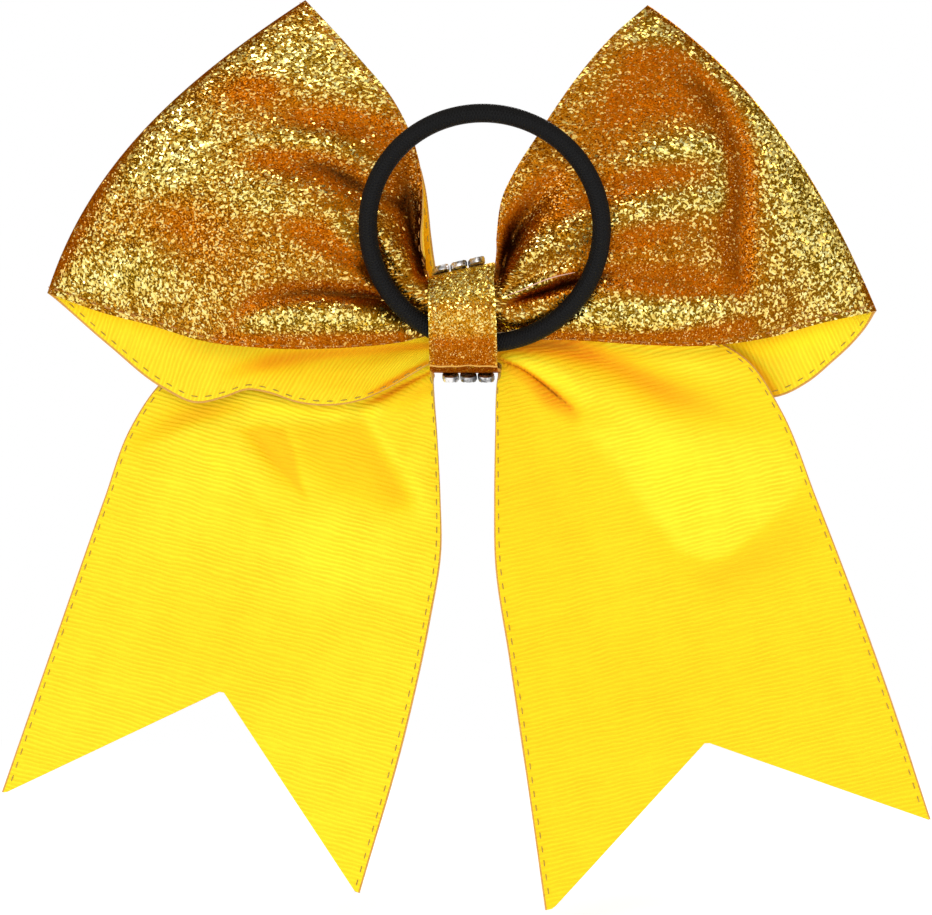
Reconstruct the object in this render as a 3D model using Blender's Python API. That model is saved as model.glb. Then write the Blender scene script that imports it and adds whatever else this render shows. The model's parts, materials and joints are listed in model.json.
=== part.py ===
"""Cheer hair bow: a two-loop, two-tail bow of three-inch ribbon with an elastic hair tie on its back.

Frame: metres, +Z up along the bow, +X to the right seen from the back, -Y out of the back (the
hair tie side), +Y out of the front (the crystal side). The origin is on the flat back face of the
centre wrap. The ribbon is a laminate: yellow grosgrain, with a gold glitter fabric sewn to its face
by a row of stitches along each edge. Its path is tail - knot - loop - knot - loop - knot - tail, so
three layers cross in the knot.
Lengths below are in millimetres from the centre of the knot; they are moved and scaled when a mesh
is made. On a span of ribbon, "along" runs 0 to 1 down its length and "across" 0 to 1 over its width.
"""

import math
from itertools import accumulate

import bmesh
import bpy
import numpy as np
from mathutils import Matrix, Vector

MM = 0.001

# ---- driving dimensions --------------------------------------------------------------------------
RIBBON_W = 76.0  # three-inch ribbon
GROSGRAIN_T = 0.40  # woven backing
GLITTER_T = 0.40  # glitter fabric
BOND_GAP = 0.16  # air between the two layers, which are held only by their seams
SEAM_INSET = 1.3  # stitch row, in from the ribbon's edge
SEAM_CLEARANCE = 0.16  # between the thread and the grosgrain
THREAD_T = 0.26

LAYER_STEP = 1.8  # depth from one ribbon layer to the next inside the knot
PINCH_PLEAT = 0.95  # depth of the gathers inside the knot, either way
PLEAT_PITCH = 4.8  # height of one gather inside the knot
PLEAT_TOP = 7.2  # height of the topmost gather's ridge
SPLIT_X = 5.6  # the spans of ribbon part here, hidden inside the wrap
PINCH_END_GAP = 0.3  # from the end of the gathers to the spans of ribbon

TAIL_HINGE_Z = -20.0  # the tails bend just under the loops
TAIL_HINGE_GAP = 1.1  # clearance either side of the bend

WRAP_HALF_W = 6.9  # half the width of the centre wrap strip
WRAP_T = 0.8
WRAP_BACK_Y = -10.5  # middle of the strip's thickness, along its flat back
KNOT_CENTRE = Vector((0.0, WRAP_T / 2 - WRAP_BACK_Y, 0.0))  # from the origin

# ---- start from an empty scene -------------------------------------------------------------------
for old in list(bpy.data.objects):
    bpy.data.objects.remove(old, do_unlink=True)


# ---- materials -----------------------------------------------------------------------------------
def material(name, colour, roughness, metallic=0.0):
    made = bpy.data.materials.get(name) or bpy.data.materials.new(name)
    made.use_nodes = True
    shader = made.node_tree.nodes["Principled BSDF"]
    colour = (*colour, 1.0)
    shader.inputs["Base Color"].default_value = colour
    shader.inputs["Roughness"].default_value = roughness
    shader.inputs["Metallic"].default_value = metallic
    made.diffuse_color = colour
    return made


YELLOW = material("grosgrain_yellow", colour=(0.97, 0.77, 0.03), roughness=0.65)
GOLD = material("glitter_gold", colour=(0.52, 0.24, 0.03), roughness=0.4, metallic=0.6)
THREAD = material("seam_thread", colour=(0.30, 0.22, 0.05), roughness=0.7)
BLACK = material("elastic_black", colour=(0.012, 0.012, 0.014), roughness=0.85)
RUBBER = material("latex_core", colour=(0.55, 0.45, 0.30), roughness=0.8)
SILVER = material("cup_silver", colour=(0.75, 0.76, 0.78), roughness=0.22, metallic=1.0)
CRYSTAL = material("crystal", colour=(0.92, 0.94, 0.96), roughness=0.05)
GLUE = material("hot_glue", colour=(0.86, 0.84, 0.76), roughness=0.4)


# ---- scene helpers -------------------------------------------------------------------------------
def empty(name, location):
    made = bpy.data.objects.new(name, None)
    made.empty_display_size = 0.01
    made.location = (Vector(location) + KNOT_CENTRE) * MM
    bpy.context.scene.collection.objects.link(made)
    return made


def mesh_object(name, points, faces, look, parent, sharp_angle=40.0):
    """A closed mesh from points in millimetres, stored in the frame of its parent."""
    mesh = bpy.data.meshes.new(name)
    placed = [tuple((Vector(point) + KNOT_CENTRE) * MM - parent.location) for point in points]
    mesh.from_pydata(placed, [], [tuple(face) for face in faces])
    work = bmesh.new()
    work.from_mesh(mesh)
    bmesh.ops.recalc_face_normals(work, faces=work.faces)
    if work.calc_volume(signed=True) < 0:
        bmesh.ops.reverse_faces(work, faces=work.faces)
    work.to_mesh(mesh)
    work.free()
    mesh.shade_smooth()
    mesh.set_sharp_from_angle(angle=math.radians(sharp_angle))
    mesh.materials.append(look)
    made = bpy.data.objects.new(name, mesh)
    made.parent = parent
    bpy.context.scene.collection.objects.link(made)
    return made


# ---- curves and sheets ---------------------------------------------------------------------------
def spaced(first, last, steps):
    return [first + (last - first) * i / steps for i in range(steps + 1)]


def spline(knots, values, position):
    """Smooth cubic curve through the values at the given knots."""
    values = np.asarray(values, float)
    last = len(knots) - 1
    start = int(np.searchsorted(knots, position, side="right")) - 1
    start = max(0, min(last - 1, start))
    end = start + 1
    span = knots[end] - knots[start]

    def chord_slope(i):
        return (values[i + 1] - values[i]) / (knots[i + 1] - knots[i])

    def slope(i):
        if i == 0:
            return chord_slope(0)
        if i == last:
            return chord_slope(last - 1)
        before = knots[i] - knots[i - 1]
        after = knots[i + 1] - knots[i]
        return (chord_slope(i - 1) * after + chord_slope(i) * before) / (before + after)

    t = (position - knots[start]) / span
    return (
        (2 * t**3 - 3 * t**2 + 1) * values[start]
        + (t**3 - 2 * t**2 + t) * span * slope(start)
        + (-2 * t**3 + 3 * t**2) * values[end]
        + (t**3 - t**2) * span * slope(end)
    )


def gather(z):
    """1 on a ridge towards the back of the bow, -1 in a groove, for a height inside the knot."""
    return math.cos(2 * math.pi * (z - PLEAT_TOP) / PLEAT_PITCH)


class Sheet:
    """A span of ribbon through stations of (along, lower edge, middle, upper edge, pleat depth).

    The pleats follow the heights of the first station up to the turn, and of the last beyond it.
    """

    def __init__(self, stations, turn=math.inf):
        self.along, self.lower, self.middle, self.upper, self.depth = zip(*stations)
        self.first_heights = (self.lower[0][2], self.upper[0][2])
        self.last_heights = (self.lower[-1][2], self.upper[-1][2])
        self.turn = turn

    def point(self, along, across):
        lower = spline(self.along, self.lower, along)
        middle = spline(self.along, self.middle, along)
        upper = spline(self.along, self.upper, along)
        place = (
            lower * (1 - across) * (1 - 2 * across)
            + middle * 4 * across * (1 - across)
            + upper * across * (2 * across - 1)
        )
        depth = max(0.0, float(spline(self.along, self.depth, along)))
        low, high = self.first_heights if along < self.turn else self.last_heights
        place[1] -= depth * gather(low + (high - low) * across)
        return place

    def normal(self, along, across):
        step = 1e-3
        before, after = max(self.along[0], along - step), min(self.along[-1], along + step)
        below, above = max(0.0, across - step), min(1.0, across + step)
        normal = np.cross(
            self.point(after, across) - self.point(before, across),
            self.point(along, above) - self.point(along, below),
        )
        return normal / np.linalg.norm(normal)

    def offset(self, along, across, distance):
        return self.point(along, across) + self.normal(along, across) * distance


def shell(name, sheet, rows, near, far, look, parent):
    """A thin solid between two offsets of a sheet. rows is a grid of (along, across)."""
    points = [sheet.offset(*spot, distance) for distance in (near, far) for row in rows for spot in row]
    row_count, column_count = len(rows), len(rows[0])

    def at(side, i, j):
        return (side * row_count + i) * column_count + j

    faces = []
    for i in range(row_count - 1):
        for j in range(column_count - 1):
            faces.append((at(0, i, j), at(0, i, j + 1), at(0, i + 1, j + 1), at(0, i + 1, j)))
            faces.append((at(1, i, j), at(1, i + 1, j), at(1, i + 1, j + 1), at(1, i, j + 1)))
    for i in range(row_count - 1):
        for j in (0, column_count - 1):
            faces.append((at(0, i, j), at(0, i + 1, j), at(1, i + 1, j), at(1, i, j)))
    for j in range(column_count - 1):
        for i in (0, row_count - 1):
            faces.append((at(0, i, j), at(0, i, j + 1), at(1, i, j + 1), at(1, i, j)))
    return mesh_object(name, points, faces, look, parent)


def tube(name, path, radius, sides, look, parent, bore=None):
    """A cord along a path of points. With a bore radius, a sleeve that is open at both ends."""
    path = [Vector(point) for point in path]
    last = len(path) - 1
    frames = []
    side = None
    for i, centre in enumerate(path):
        tangent = (path[min(last, i + 1)] - path[max(0, i - 1)]).normalized()
        if side is None:
            helper = Vector((0, 1, 0)) if abs(tangent.y) < 0.9 else Vector((1, 0, 0))
            side = tangent.cross(helper).normalized()
        else:
            side = (side - tangent * side.dot(tangent)).normalized()
        frames.append((centre, side, tangent.cross(side).normalized()))

    points = []
    radii = [radius] if bore is None else [radius, bore]
    for ring_radius in radii:
        for centre, side, other in frames:
            for k in range(sides):
                angle = 2 * math.pi * k / sides
                across = side * (ring_radius * math.cos(angle))
                points.append(centre + across + other * (ring_radius * math.sin(angle)))

    def at(layer, i, k):
        return (layer * len(path) + i) * sides + k % sides

    faces = []
    for layer in range(len(radii)):
        for i in range(last):
            for k in range(sides):
                face = (at(layer, i, k), at(layer, i, k + 1),
                        at(layer, i + 1, k + 1), at(layer, i + 1, k))
                faces.append(face if layer == 0 else (face[0], face[3], face[2], face[1]))
    for i in (0, last):
        if bore is None:
            faces.append(tuple(at(0, i, k) for k in range(sides)))
        else:
            for k in range(sides):
                faces.append((at(0, i, k), at(0, i, k + 1), at(1, i, k + 1), at(1, i, k)))
    return mesh_object(name, points, faces, look, parent)


# ---- the ribbon's shape --------------------------------------------------------------------------
# Heights (low, high) that each layer takes up in the knot: the back layer sits high, the other two
# reach lower.
BACK_Z, MIDDLE_Z, FRONT_Z = (-3.6, 7.9), (-8.4, 7.4), (-8.4, 6.6)
BACK_Y, MIDDLE_Y, FRONT_Y = -LAYER_STEP, 0.0, LAYER_STEP


def knot_station(along, x, y, heights, depth=PINCH_PLEAT):
    """A station where the ribbon is gathered upright in the knot."""
    low, high = heights
    return (along, (x, y, low), (x, y, (low + high) / 2), (x, y, high), depth)


# Station columns: along, lower edge xyz, middle xyz, upper edge xyz, depth of the pleats.
# A loop runs as the back layer out from the knot, round the fold, and on the front side back to it.
FOLD = 0.5  # place along a loop of its fold
LEFT_LOOP = [
    knot_station(0.00, -SPLIT_X, BACK_Y, BACK_Z),
    knot_station(0.03, -7.4, BACK_Y - 0.3, BACK_Z, 1.0),
    (0.08, (-13.0, -3.2, -4.6), (-12.8, -3.9, 4.4), (-7.9, -3.6, 13.5), 1.5),
    (0.15, (-26.8, -4.8, -5.6), (-22.0, -6.0, 10.5), (-8.3, -6.2, 24.0), 1.9),
    (0.23, (-43.0, -6.4, -5.4), (-35.5, -8.4, 20.0), (-9.6, -8.4, 36.5), 1.9),
    (0.31, (-57.0, -6.4, -2.6), (-47.5, -9.2, 28.6), (-17.2, -7.8, 48.2), 1.2),
    (0.39, (-70.0, -5.2, 1.4), (-57.0, -7.6, 35.2), (-25.2, -5.6, 57.0), 0.5),
    (0.46, (-79.6, -2.9, 4.5), (-62.2, -3.9, 38.9), (-30.6, -2.7, 62.4), 0.1),
    (FOLD, (-82.6, 0.0, 5.5), (-63.2, 0.0, 39.6), (-31.8, 0.0, 63.4), 0.0),
    (0.54, (-79.2, 2.9, 2.6), (-62.0, 3.9, 38.6), (-31.0, 2.7, 62.2), 0.1),
    (0.61, (-71.2, 5.0, -5.2), (-56.5, 7.8, 33.0), (-26.2, 5.6, 56.4), 0.5),
    (0.69, (-61.6, 5.0, -13.2), (-46.5, 8.6, 24.5), (-18.6, 7.4, 47.2), 1.0),
    (0.77, (-50.0, 4.6, -15.8), (-34.5, 7.2, 15.0), (-11.0, 7.2, 35.5), 1.1),
    (0.85, (-33.0, 3.4, -16.4), (-21.6, 4.6, 6.0), (-8.6, 5.2, 22.5), 1.1),
    (0.92, (-15.6, 1.2, -13.4), (-12.6, 1.7, 1.2), (-7.6, 2.4, 12.0), 1.0),
    knot_station(0.97, -7.4, MIDDLE_Y - 0.1, MIDDLE_Z),
    knot_station(1.00, -SPLIT_X, MIDDLE_Y, MIDDLE_Z),
]
RIGHT_LOOP = [
    knot_station(0.00, SPLIT_X, BACK_Y, BACK_Z),
    knot_station(0.03, 7.4, BACK_Y - 0.3, BACK_Z, 1.0),
    (0.08, (13.0, -3.6, -3.8), (13.0, -4.2, 4.6), (7.0, -3.9, 14.0), 1.4),
    (0.15, (26.5, -4.8, -4.3), (22.5, -6.0, 11.0), (7.6, -6.2, 24.5), 1.9),
    (0.23, (43.0, -6.2, -5.0), (36.0, -8.4, 19.0), (13.0, -8.4, 35.5), 1.9),
    (0.31, (57.5, -6.2, -3.9), (48.5, -9.2, 26.6), (21.2, -7.8, 47.0), 1.2),
    (0.39, (70.5, -5.0, -0.6), (58.5, -7.6, 32.2), (29.2, -5.6, 56.2), 0.5),
    (0.46, (79.4, -2.9, 1.3), (63.9, -3.9, 35.2), (35.4, -2.7, 61.4), 0.1),
    (FOLD, (82.2, 0.0, 1.9), (65.0, 0.0, 35.9), (36.8, 0.0, 62.4), 0.0),
    (0.54, (78.8, 2.9, -1.8), (63.6, 3.9, 34.8), (35.6, 2.7, 61.2), 0.1),
    (0.61, (72.0, 5.4, -9.0), (58.0, 8.2, 29.6), (30.2, 5.8, 55.0), 0.5),
    (0.69, (61.5, 7.4, -14.8), (47.5, 10.4, 21.5), (22.6, 8.4, 45.4), 1.0),
    (0.77, (47.5, 9.0, -15.6), (35.0, 11.2, 13.0), (14.6, 9.4, 33.5), 1.3),
    (0.85, (31.0, 8.0, -15.6), (22.0, 9.0, 5.0), (8.8, 7.6, 21.5), 1.3),
    (0.92, (15.5, 5.0, -12.9), (12.8, 5.2, 0.6), (7.4, 4.6, 11.0), 1.1),
    knot_station(0.97, 7.4, FRONT_Y + 0.8, FRONT_Z),
    knot_station(1.00, SPLIT_X, FRONT_Y, FRONT_Z),
]
# On a tail the lower edge is the inner edge and the upper edge is the outer one.
# The front layer carries on into the left tail.
LEFT_TAIL = [
    knot_station(0.00, -SPLIT_X, FRONT_Y, FRONT_Z),
    knot_station(0.03, -7.5, FRONT_Y + 0.8, FRONT_Z),
    (0.10, (-6.3, 6.6, -15.5), (-14.5, 7.0, -6.8), (-23.5, 8.8, 2.4), 0.8),
    (0.20, (-5.3, 8.6, -26.0), (-25.5, 8.6, -17.0), (-45.0, 9.8, -5.0), 0.3),
    (0.31, (-4.7, 8.0, -38.0), (-34.6, 8.6, -28.4), (-62.2, 9.2, -15.2), 0.2),
    (0.42, (-4.5, 7.0, -49.0), (-38.8, 7.0, -42.0), (-70.2, 7.8, -30.0), 0.3),
    (0.60, (-8.5, 4.8, -70.0), (-43.6, 4.8, -60.4), (-76.8, 5.2, -49.8), 0.2),
    (0.79, (-14.2, 2.2, -91.5), (-49.8, 2.2, -81.4), (-84.4, 2.6, -71.4), 0.1),
    (1.00, (-21.2, 1.0, -114.6), (-56.7, 1.0, -104.5), (-92.2, 1.0, -94.4), 0.0),
]
# The middle layer carries on into the right tail, which hangs inside the right loop.
RIGHT_TAIL = [
    knot_station(0.00, SPLIT_X, MIDDLE_Y, MIDDLE_Z),
    knot_station(0.03, 7.2, MIDDLE_Y, MIDDLE_Z),
    (0.10, (6.6, 1.2, -15.5), (14.5, 1.3, -6.8), (23.5, 1.0, 2.6), 0.7),
    (0.20, (6.4, 1.3, -26.0), (25.0, 1.4, -16.6), (44.5, 0.8, -1.4), 0.3),
    (0.31, (6.3, 1.4, -38.0), (33.0, 1.4, -27.6), (60.6, 1.1, -12.2), 0.2),
    (0.42, (6.5, 1.4, -50.0), (37.4, 1.4, -41.6), (68.2, 1.1, -29.5), 0.2),
    (0.60, (9.4, 1.0, -70.5), (42.6, 1.3, -62.0), (76.2, 0.8, -50.8), 0.3),
    (0.79, (12.9, 0.5, -92.5), (48.2, 0.6, -83.6), (84.2, 0.4, -73.0), 0.1),
    (1.00, (16.8, 0.0, -118.0), (54.9, 0.0, -109.0), (93.0, 0.0, -100.0), 0.0),
]


# ---- ribbon pieces -------------------------------------------------------------------------------
def across_steps(first, last, steps):
    """Columns across the ribbon: even ones, with the edges and the seam lines outside them."""
    inset = SEAM_INSET / RIBBON_W
    return [0.0, inset] + spaced(first, last, steps) + [1 - inset, 1.0]


# Loop rows are closer near the knot, where the pleats fade in, and at the bend of the fold.
HALF_LOOP_ROWS = [0.0, 0.03, 0.055, 0.08, 0.115, 0.15, 0.19, 0.23, 0.31, 0.39, 0.44, 0.475]
LOOP_ROWS = HALF_LOOP_ROWS + [FOLD] + [1 - along for along in reversed(HALF_LOOP_ROWS)]
ROOT_ROWS = (0, 0.12, 0.24, 0.38, 0.55, 0.75, 1)  # shares of a tail root's length
HANGING_ROWS = spaced(0, 1, 8)  # shares of a hanging tail's length
FINE_COLUMNS = across_steps(0.1, 0.9, 8)
HANGING_COLUMNS = across_steps(0.125, 0.875, 6)
SEAM_COLUMNS = (1, -2)


def grid(rows, columns):
    return [[(along, across) for across in columns] for along in rows]


def fabric_layers(prefix, sheet, rows, glitter_side, parent):
    """Glitter fabric on one side of the sheet (1 along its normal, -1 against), grosgrain behind."""
    for label, side, thickness, look in (
        ("glitter", glitter_side, GLITTER_T, GOLD),
        ("grosgrain", -glitter_side, GROSGRAIN_T, YELLOW),
    ):
        near = side * BOND_GAP / 2
        far = side * (BOND_GAP / 2 + thickness)
        shell(f"{prefix}_{label}", sheet, rows, near, far, look, parent)


def laminate(prefix, sheet, rows, glitter_side, parent, seam_labels):
    """Both fabric layers of a span, with an edge seam over each seam column of the grosgrain."""
    fabric_layers(prefix, sheet, rows, glitter_side, parent)
    lift = BOND_GAP / 2 + GROSGRAIN_T + SEAM_CLEARANCE + THREAD_T / 2
    for label, column in zip(seam_labels, SEAM_COLUMNS):
        # an upper seam stops short of the knot, where the ribbon turns sharply up under the wrap
        stitched = rows[3:] if label == "upper" else rows
        path = [sheet.offset(*row[column], -glitter_side * lift) for row in stitched]
        tube(f"{prefix}_seam_{label}", path, THREAD_T / 2, 4, THREAD, parent)


def build_loops(knot):
    rows = grid(LOOP_ROWS, FINE_COLUMNS)
    for side, stations, glitter_side in (("left", LEFT_LOOP, -1), ("right", RIGHT_LOOP, 1)):
        sheet = Sheet(stations, turn=FOLD)
        laminate(side + "_loop", sheet, rows, glitter_side, knot, ("lower", "upper"))


def along_at_height(sheet, across, z):
    """The place along a tail where a column passes the given height, by bisection."""
    above, below = 0.03, 0.55
    for _ in range(40):
        middle = (above + below) / 2
        if sheet.point(middle, across)[2] > z:
            above = middle
        else:
            below = middle
    return (above + below) / 2


def build_tail(knot, side, stations, glitter_side, notch, hinge_x, hinge_y):
    """A short root that stays with the knot, and a hanging length that swings on a hinge line.

    notch is how far along the ribbon the point of the swallowtail notch lies.
    """
    sheet = Sheet(stations)
    root_ends = [
        along_at_height(sheet, across, TAIL_HINGE_Z + TAIL_HINGE_GAP) for across in FINE_COLUMNS
    ]
    rows = [
        [(end * share, across) for end, across in zip(root_ends, FINE_COLUMNS)]
        for share in ROOT_ROWS
    ]
    fabric_layers(side + "_tail_root", sheet, rows, glitter_side, knot)

    hinge = empty(side + "_tail_hinge", (hinge_x, hinge_y, TAIL_HINGE_Z))
    columns = []  # (start, end, across)
    for across in HANGING_COLUMNS:
        start = along_at_height(sheet, across, TAIL_HINGE_Z - TAIL_HINGE_GAP)
        end = 1.0 - (1.0 - notch) * (1.0 - abs(2.0 * across - 1.0))
        columns.append((start, end, across))
    rows = [
        [(start + (end - start) * share, across) for start, end, across in columns]
        for share in HANGING_ROWS
    ]
    laminate(side + "_tail", sheet, rows, glitter_side, hinge, ("inner", "outer"))


def build_gathers(knot):
    """The three pleated layers of ribbon nested in the knot."""
    reach = SPLIT_X - PINCH_END_GAP
    half_thickness = (GROSGRAIN_T + GLITTER_T + BOND_GAP) / 2
    rows = grid([0.0, 1.0], FINE_COLUMNS)
    for label, y, heights in (
        ("back", BACK_Y, BACK_Z),
        ("middle", MIDDLE_Y, MIDDLE_Z),
        ("front", FRONT_Y, FRONT_Z),
    ):
        ends = [knot_station(0.0, -reach, y, heights), knot_station(1.0, reach, y, heights)]
        name = f"pinch_{label}_layer"
        shell(name, Sheet(ends), rows, -half_thickness, half_thickness, YELLOW, knot)


# ---- binding thread ------------------------------------------------------------------------------
BINDING_TURNS = 4
BINDING_STEPS = 16  # per turn
BINDING_W = 3.6  # from the first turn to the last, along X
BINDING_HALF_Y = 4.15
BINDING_HALF_Z = 9.1
BINDING_CENTRE_Z = -0.25
BINDING_SQUARENESS = 5.0  # power of the superellipse; 2 is a plain ellipse
BINDING_R = 0.22


def build_binding_thread(knot):
    """Turns of thread wound round the gathers."""

    def squared(value):
        return math.copysign(abs(value) ** (2 / BINDING_SQUARENESS), value)

    steps = BINDING_TURNS * BINDING_STEPS
    path = []
    for i in range(steps + 1):
        angle = 2 * math.pi * i / BINDING_STEPS
        x = -BINDING_W / 2 + BINDING_W * i / steps
        y = BINDING_HALF_Y * squared(math.cos(angle))
        z = BINDING_HALF_Z * squared(math.sin(angle)) + BINDING_CENTRE_Z
        path.append((x, y, z))
    tube("binding_thread", path, BINDING_R, 4, THREAD, knot)


# ---- centre wrap ---------------------------------------------------------------------------------
# Middle line of the strip as (y, z): it starts under its own lap at the back, runs below the knot,
# up the front and over the top, and comes down the back over the cord.
WRAP_LINE = [
    (-5.75, -6.7), (-5.6, -8.2), (-4.6, -9.6), (-2.0, -10.1), (2.0, -10.1), (4.2, -9.4),
    (5.15, -7.7), (5.35, -4.0), (5.4, 0.0), (5.35, 4.0), (5.15, 7.7), (4.2, 9.15),
    (2.0, 9.6), (-2.0, 9.6), (-4.6, 9.0), (-6.9, 7.0), (-9.0, 4.2), (-10.2, 1.6),
    (WRAP_BACK_Y, 0.2), (WRAP_BACK_Y, -4.4), (-10.2, -5.8), (-8.9, -7.6), (-7.2, -9.3),
]
FRONT_MIDDLE = 8  # index of the middle of the wrap's front
FLAT_FROM, FLAT_TO = 18, 19  # the stretch between these points is the flat back face
WRAP_KNOTS = list(accumulate(map(math.dist, WRAP_LINE, WRAP_LINE[1:]), initial=0.0))

GLUE_HALF_W = 5.2
GLUE_OUTLINE = [  # (y, z)
    (-6.4, -7.2), (-6.3, -8.2), (-6.35, -8.75), (-6.75, -8.85), (-7.35, -8.2), (-7.2, -7.2),
]


def wrap_frame(distance):
    """Place, outward direction and forward direction in the YZ plane, at a distance along the line."""
    flat_start, flat_end = WRAP_KNOTS[FLAT_FROM], WRAP_KNOTS[FLAT_TO]
    if flat_start <= distance <= flat_end:
        top, bottom = np.array(WRAP_LINE[FLAT_FROM]), np.array(WRAP_LINE[FLAT_TO])
        share = (distance - flat_start) / (flat_end - flat_start)
        return top + (bottom - top) * share, np.array((-1.0, 0.0)), np.array((0.0, -1.0))
    step = 0.05
    ahead = spline(WRAP_KNOTS, WRAP_LINE, min(WRAP_KNOTS[-1], distance + step))
    behind = spline(WRAP_KNOTS, WRAP_LINE, max(0.0, distance - step))
    forward = (ahead - behind) / np.linalg.norm(ahead - behind)
    outward = np.array((forward[1], -forward[0]))
    return spline(WRAP_KNOTS, WRAP_LINE, distance), outward, forward


def build_centre_wrap(knot):
    """A strip of constant width and thickness along the wrap line."""
    stops = []
    for i, (start, end) in enumerate(zip(WRAP_KNOTS, WRAP_KNOTS[1:])):
        stops.append(start)
        if i != FLAT_FROM:
            stops.append((start + end) / 2)
    stops.append(WRAP_KNOTS[-1])

    half = WRAP_T / 2
    section = (
        (-WRAP_HALF_W, -half), (WRAP_HALF_W, -half), (WRAP_HALF_W, half), (-WRAP_HALF_W, half)
    )
    points, faces = [], []
    for distance in stops:
        place, outward, _ = wrap_frame(distance)
        for x, lift in section:
            points.append((x, *(place + outward * lift)))
    last = (len(stops) - 1) * 4
    for base in range(0, last, 4):
        for k in range(4):
            this, following = base + k, base + (k + 1) % 4
            faces.append((this, following, following + 4, this + 4))
    faces.append((0, 1, 2, 3))
    faces.append((last, last + 1, last + 2, last + 3))
    mesh_object("centre_wrap", points, faces, GOLD, knot, 50)


def build_wrap_glue(knot):
    """A film of hot glue that holds the lapped end of the wrap."""
    points = [(x, y, z) for y, z in GLUE_OUTLINE for x in (-GLUE_HALF_W, GLUE_HALF_W)]
    count = len(points)
    faces = [(i, i + 1, (i + 3) % count, (i + 2) % count) for i in range(0, count, 2)]
    faces.append(tuple(range(0, count, 2)))
    faces.append(tuple(range(1, count, 2)))
    mesh_object("wrap_glue", points, faces, GLUE, knot)


# ---- crystal trim --------------------------------------------------------------------------------
CRYSTAL_ROWS = 8
CRYSTAL_PITCH = 3.55
CRYSTAL_R = 1.38
CUP_R = 1.70
CUP_WALL = 0.2
CUP_H = 1.25
CUP_GAP = 0.12  # between a cup's foot and the wrap
TURNED_SIDES = 8  # facets round a cup or a crystal
# profiles from axis to axis: (radius, height above the cup's foot)
CUP_PROFILE = [
    (0, 0), (CUP_R * 0.86, 0), (CUP_R, 0.35), (CUP_R, CUP_H),
    (CUP_R - CUP_WALL, CUP_H), (CUP_R - CUP_WALL, 0.5), (0.35, 0.22), (0, 0.22),
]
CRYSTAL_PROFILE = [
    (0, 0.36), (CRYSTAL_R, 1.12), (CRYSTAL_R, 1.24), (CRYSTAL_R * 0.60, 1.72), (0, 1.72),
]
LINK_HALF_W = 0.32
LINK_REACH = CUP_R - 0.24  # from a cup's axis to the link's end, inside the cup's wall
LINK_HEIGHTS = (0.5, 0.95)  # underside and top, above the cup's foot


def revolve(profile, place):
    """Points and faces of a closed turned shape, with a facet square to its local x axis."""
    points, faces, rings = [], [], []
    for radius, height in profile:
        first = len(points)
        if radius == 0:
            points.append(place @ Vector((0, 0, height)))
        else:
            for k in range(TURNED_SIDES):
                angle = 2 * math.pi * (k + 0.5) / TURNED_SIDES
                x, y = radius * math.cos(angle), radius * math.sin(angle)
                points.append(place @ Vector((x, y, height)))
        rings.append(range(first, len(points)))
    for lower, upper in zip(rings, rings[1:]):
        for k in range(TURNED_SIDES):
            following = (k + 1) % TURNED_SIDES
            if len(lower) == 1:
                faces.append((lower[0], upper[following], upper[k]))
            elif len(upper) == 1:
                faces.append((lower[k], lower[following], upper[0]))
            else:
                faces.append((lower[k], lower[following], upper[following], upper[k]))
    return points, faces


def cup_seat(x, distance):
    """The place of a cup's foot on the wrap, with local z out of the wrap and y along its line."""
    place, outward, forward = wrap_frame(distance)
    foot = place + outward * (WRAP_T / 2 + CUP_GAP)
    axes = Matrix((Vector((1, 0, 0)), Vector((0, *forward)), Vector((0, *outward))))
    return Matrix.Translation(Vector((x, *foot))) @ axes.transposed().to_4x4()


def add_link(chain, name, modifier_name, near, far, knot):
    """A hidden bar, joined to the chain, that bridges the wall of one cup to the next."""
    points = [
        seat @ Vector((x, y, z))
        for seat, y in ((near, LINK_REACH), (far, -LINK_REACH))
        for x in (-LINK_HALF_W, LINK_HALF_W)
        for z in LINK_HEIGHTS
    ]
    faces = [(0, 1, 3, 2), (4, 6, 7, 5), (0, 4, 5, 1), (2, 3, 7, 6), (0, 2, 6, 4), (1, 5, 7, 3)]
    link = mesh_object(name, points, faces, SILVER, knot)
    link.hide_render = True
    link.display_type = "WIRE"
    join = chain.modifiers.new(modifier_name, "BOOLEAN")
    join.operation = "UNION"
    join.solver = "EXACT"
    join.object = link


def build_cup_chain(knot, label, x):
    """A column of crystals in linked cups up the front of the wrap, from its bottom to its top."""
    points, faces, seats = [], [], []
    for row in range(CRYSTAL_ROWS):
        from_middle = (row - (CRYSTAL_ROWS - 1) / 2) * CRYSTAL_PITCH
        seat = cup_seat(x, WRAP_KNOTS[FRONT_MIDDLE] + from_middle)
        seats.append(seat)
        cup_points, cup_faces = revolve(CUP_PROFILE, seat)
        faces += [tuple(i + len(points) for i in face) for face in cup_faces]
        points += cup_points
        mesh_object(
            f"crystal_{label}_{row + 1}", *revolve(CRYSTAL_PROFILE, seat), CRYSTAL, knot, 5
        )
    chain = mesh_object(f"cup_chain_{label}", points, faces, SILVER, knot, 30)
    for row, (near, far) in enumerate(zip(seats, seats[1:])):
        add_link(chain, f"link_{label}_{row}", f"link_{row}", near, far, knot)


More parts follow.
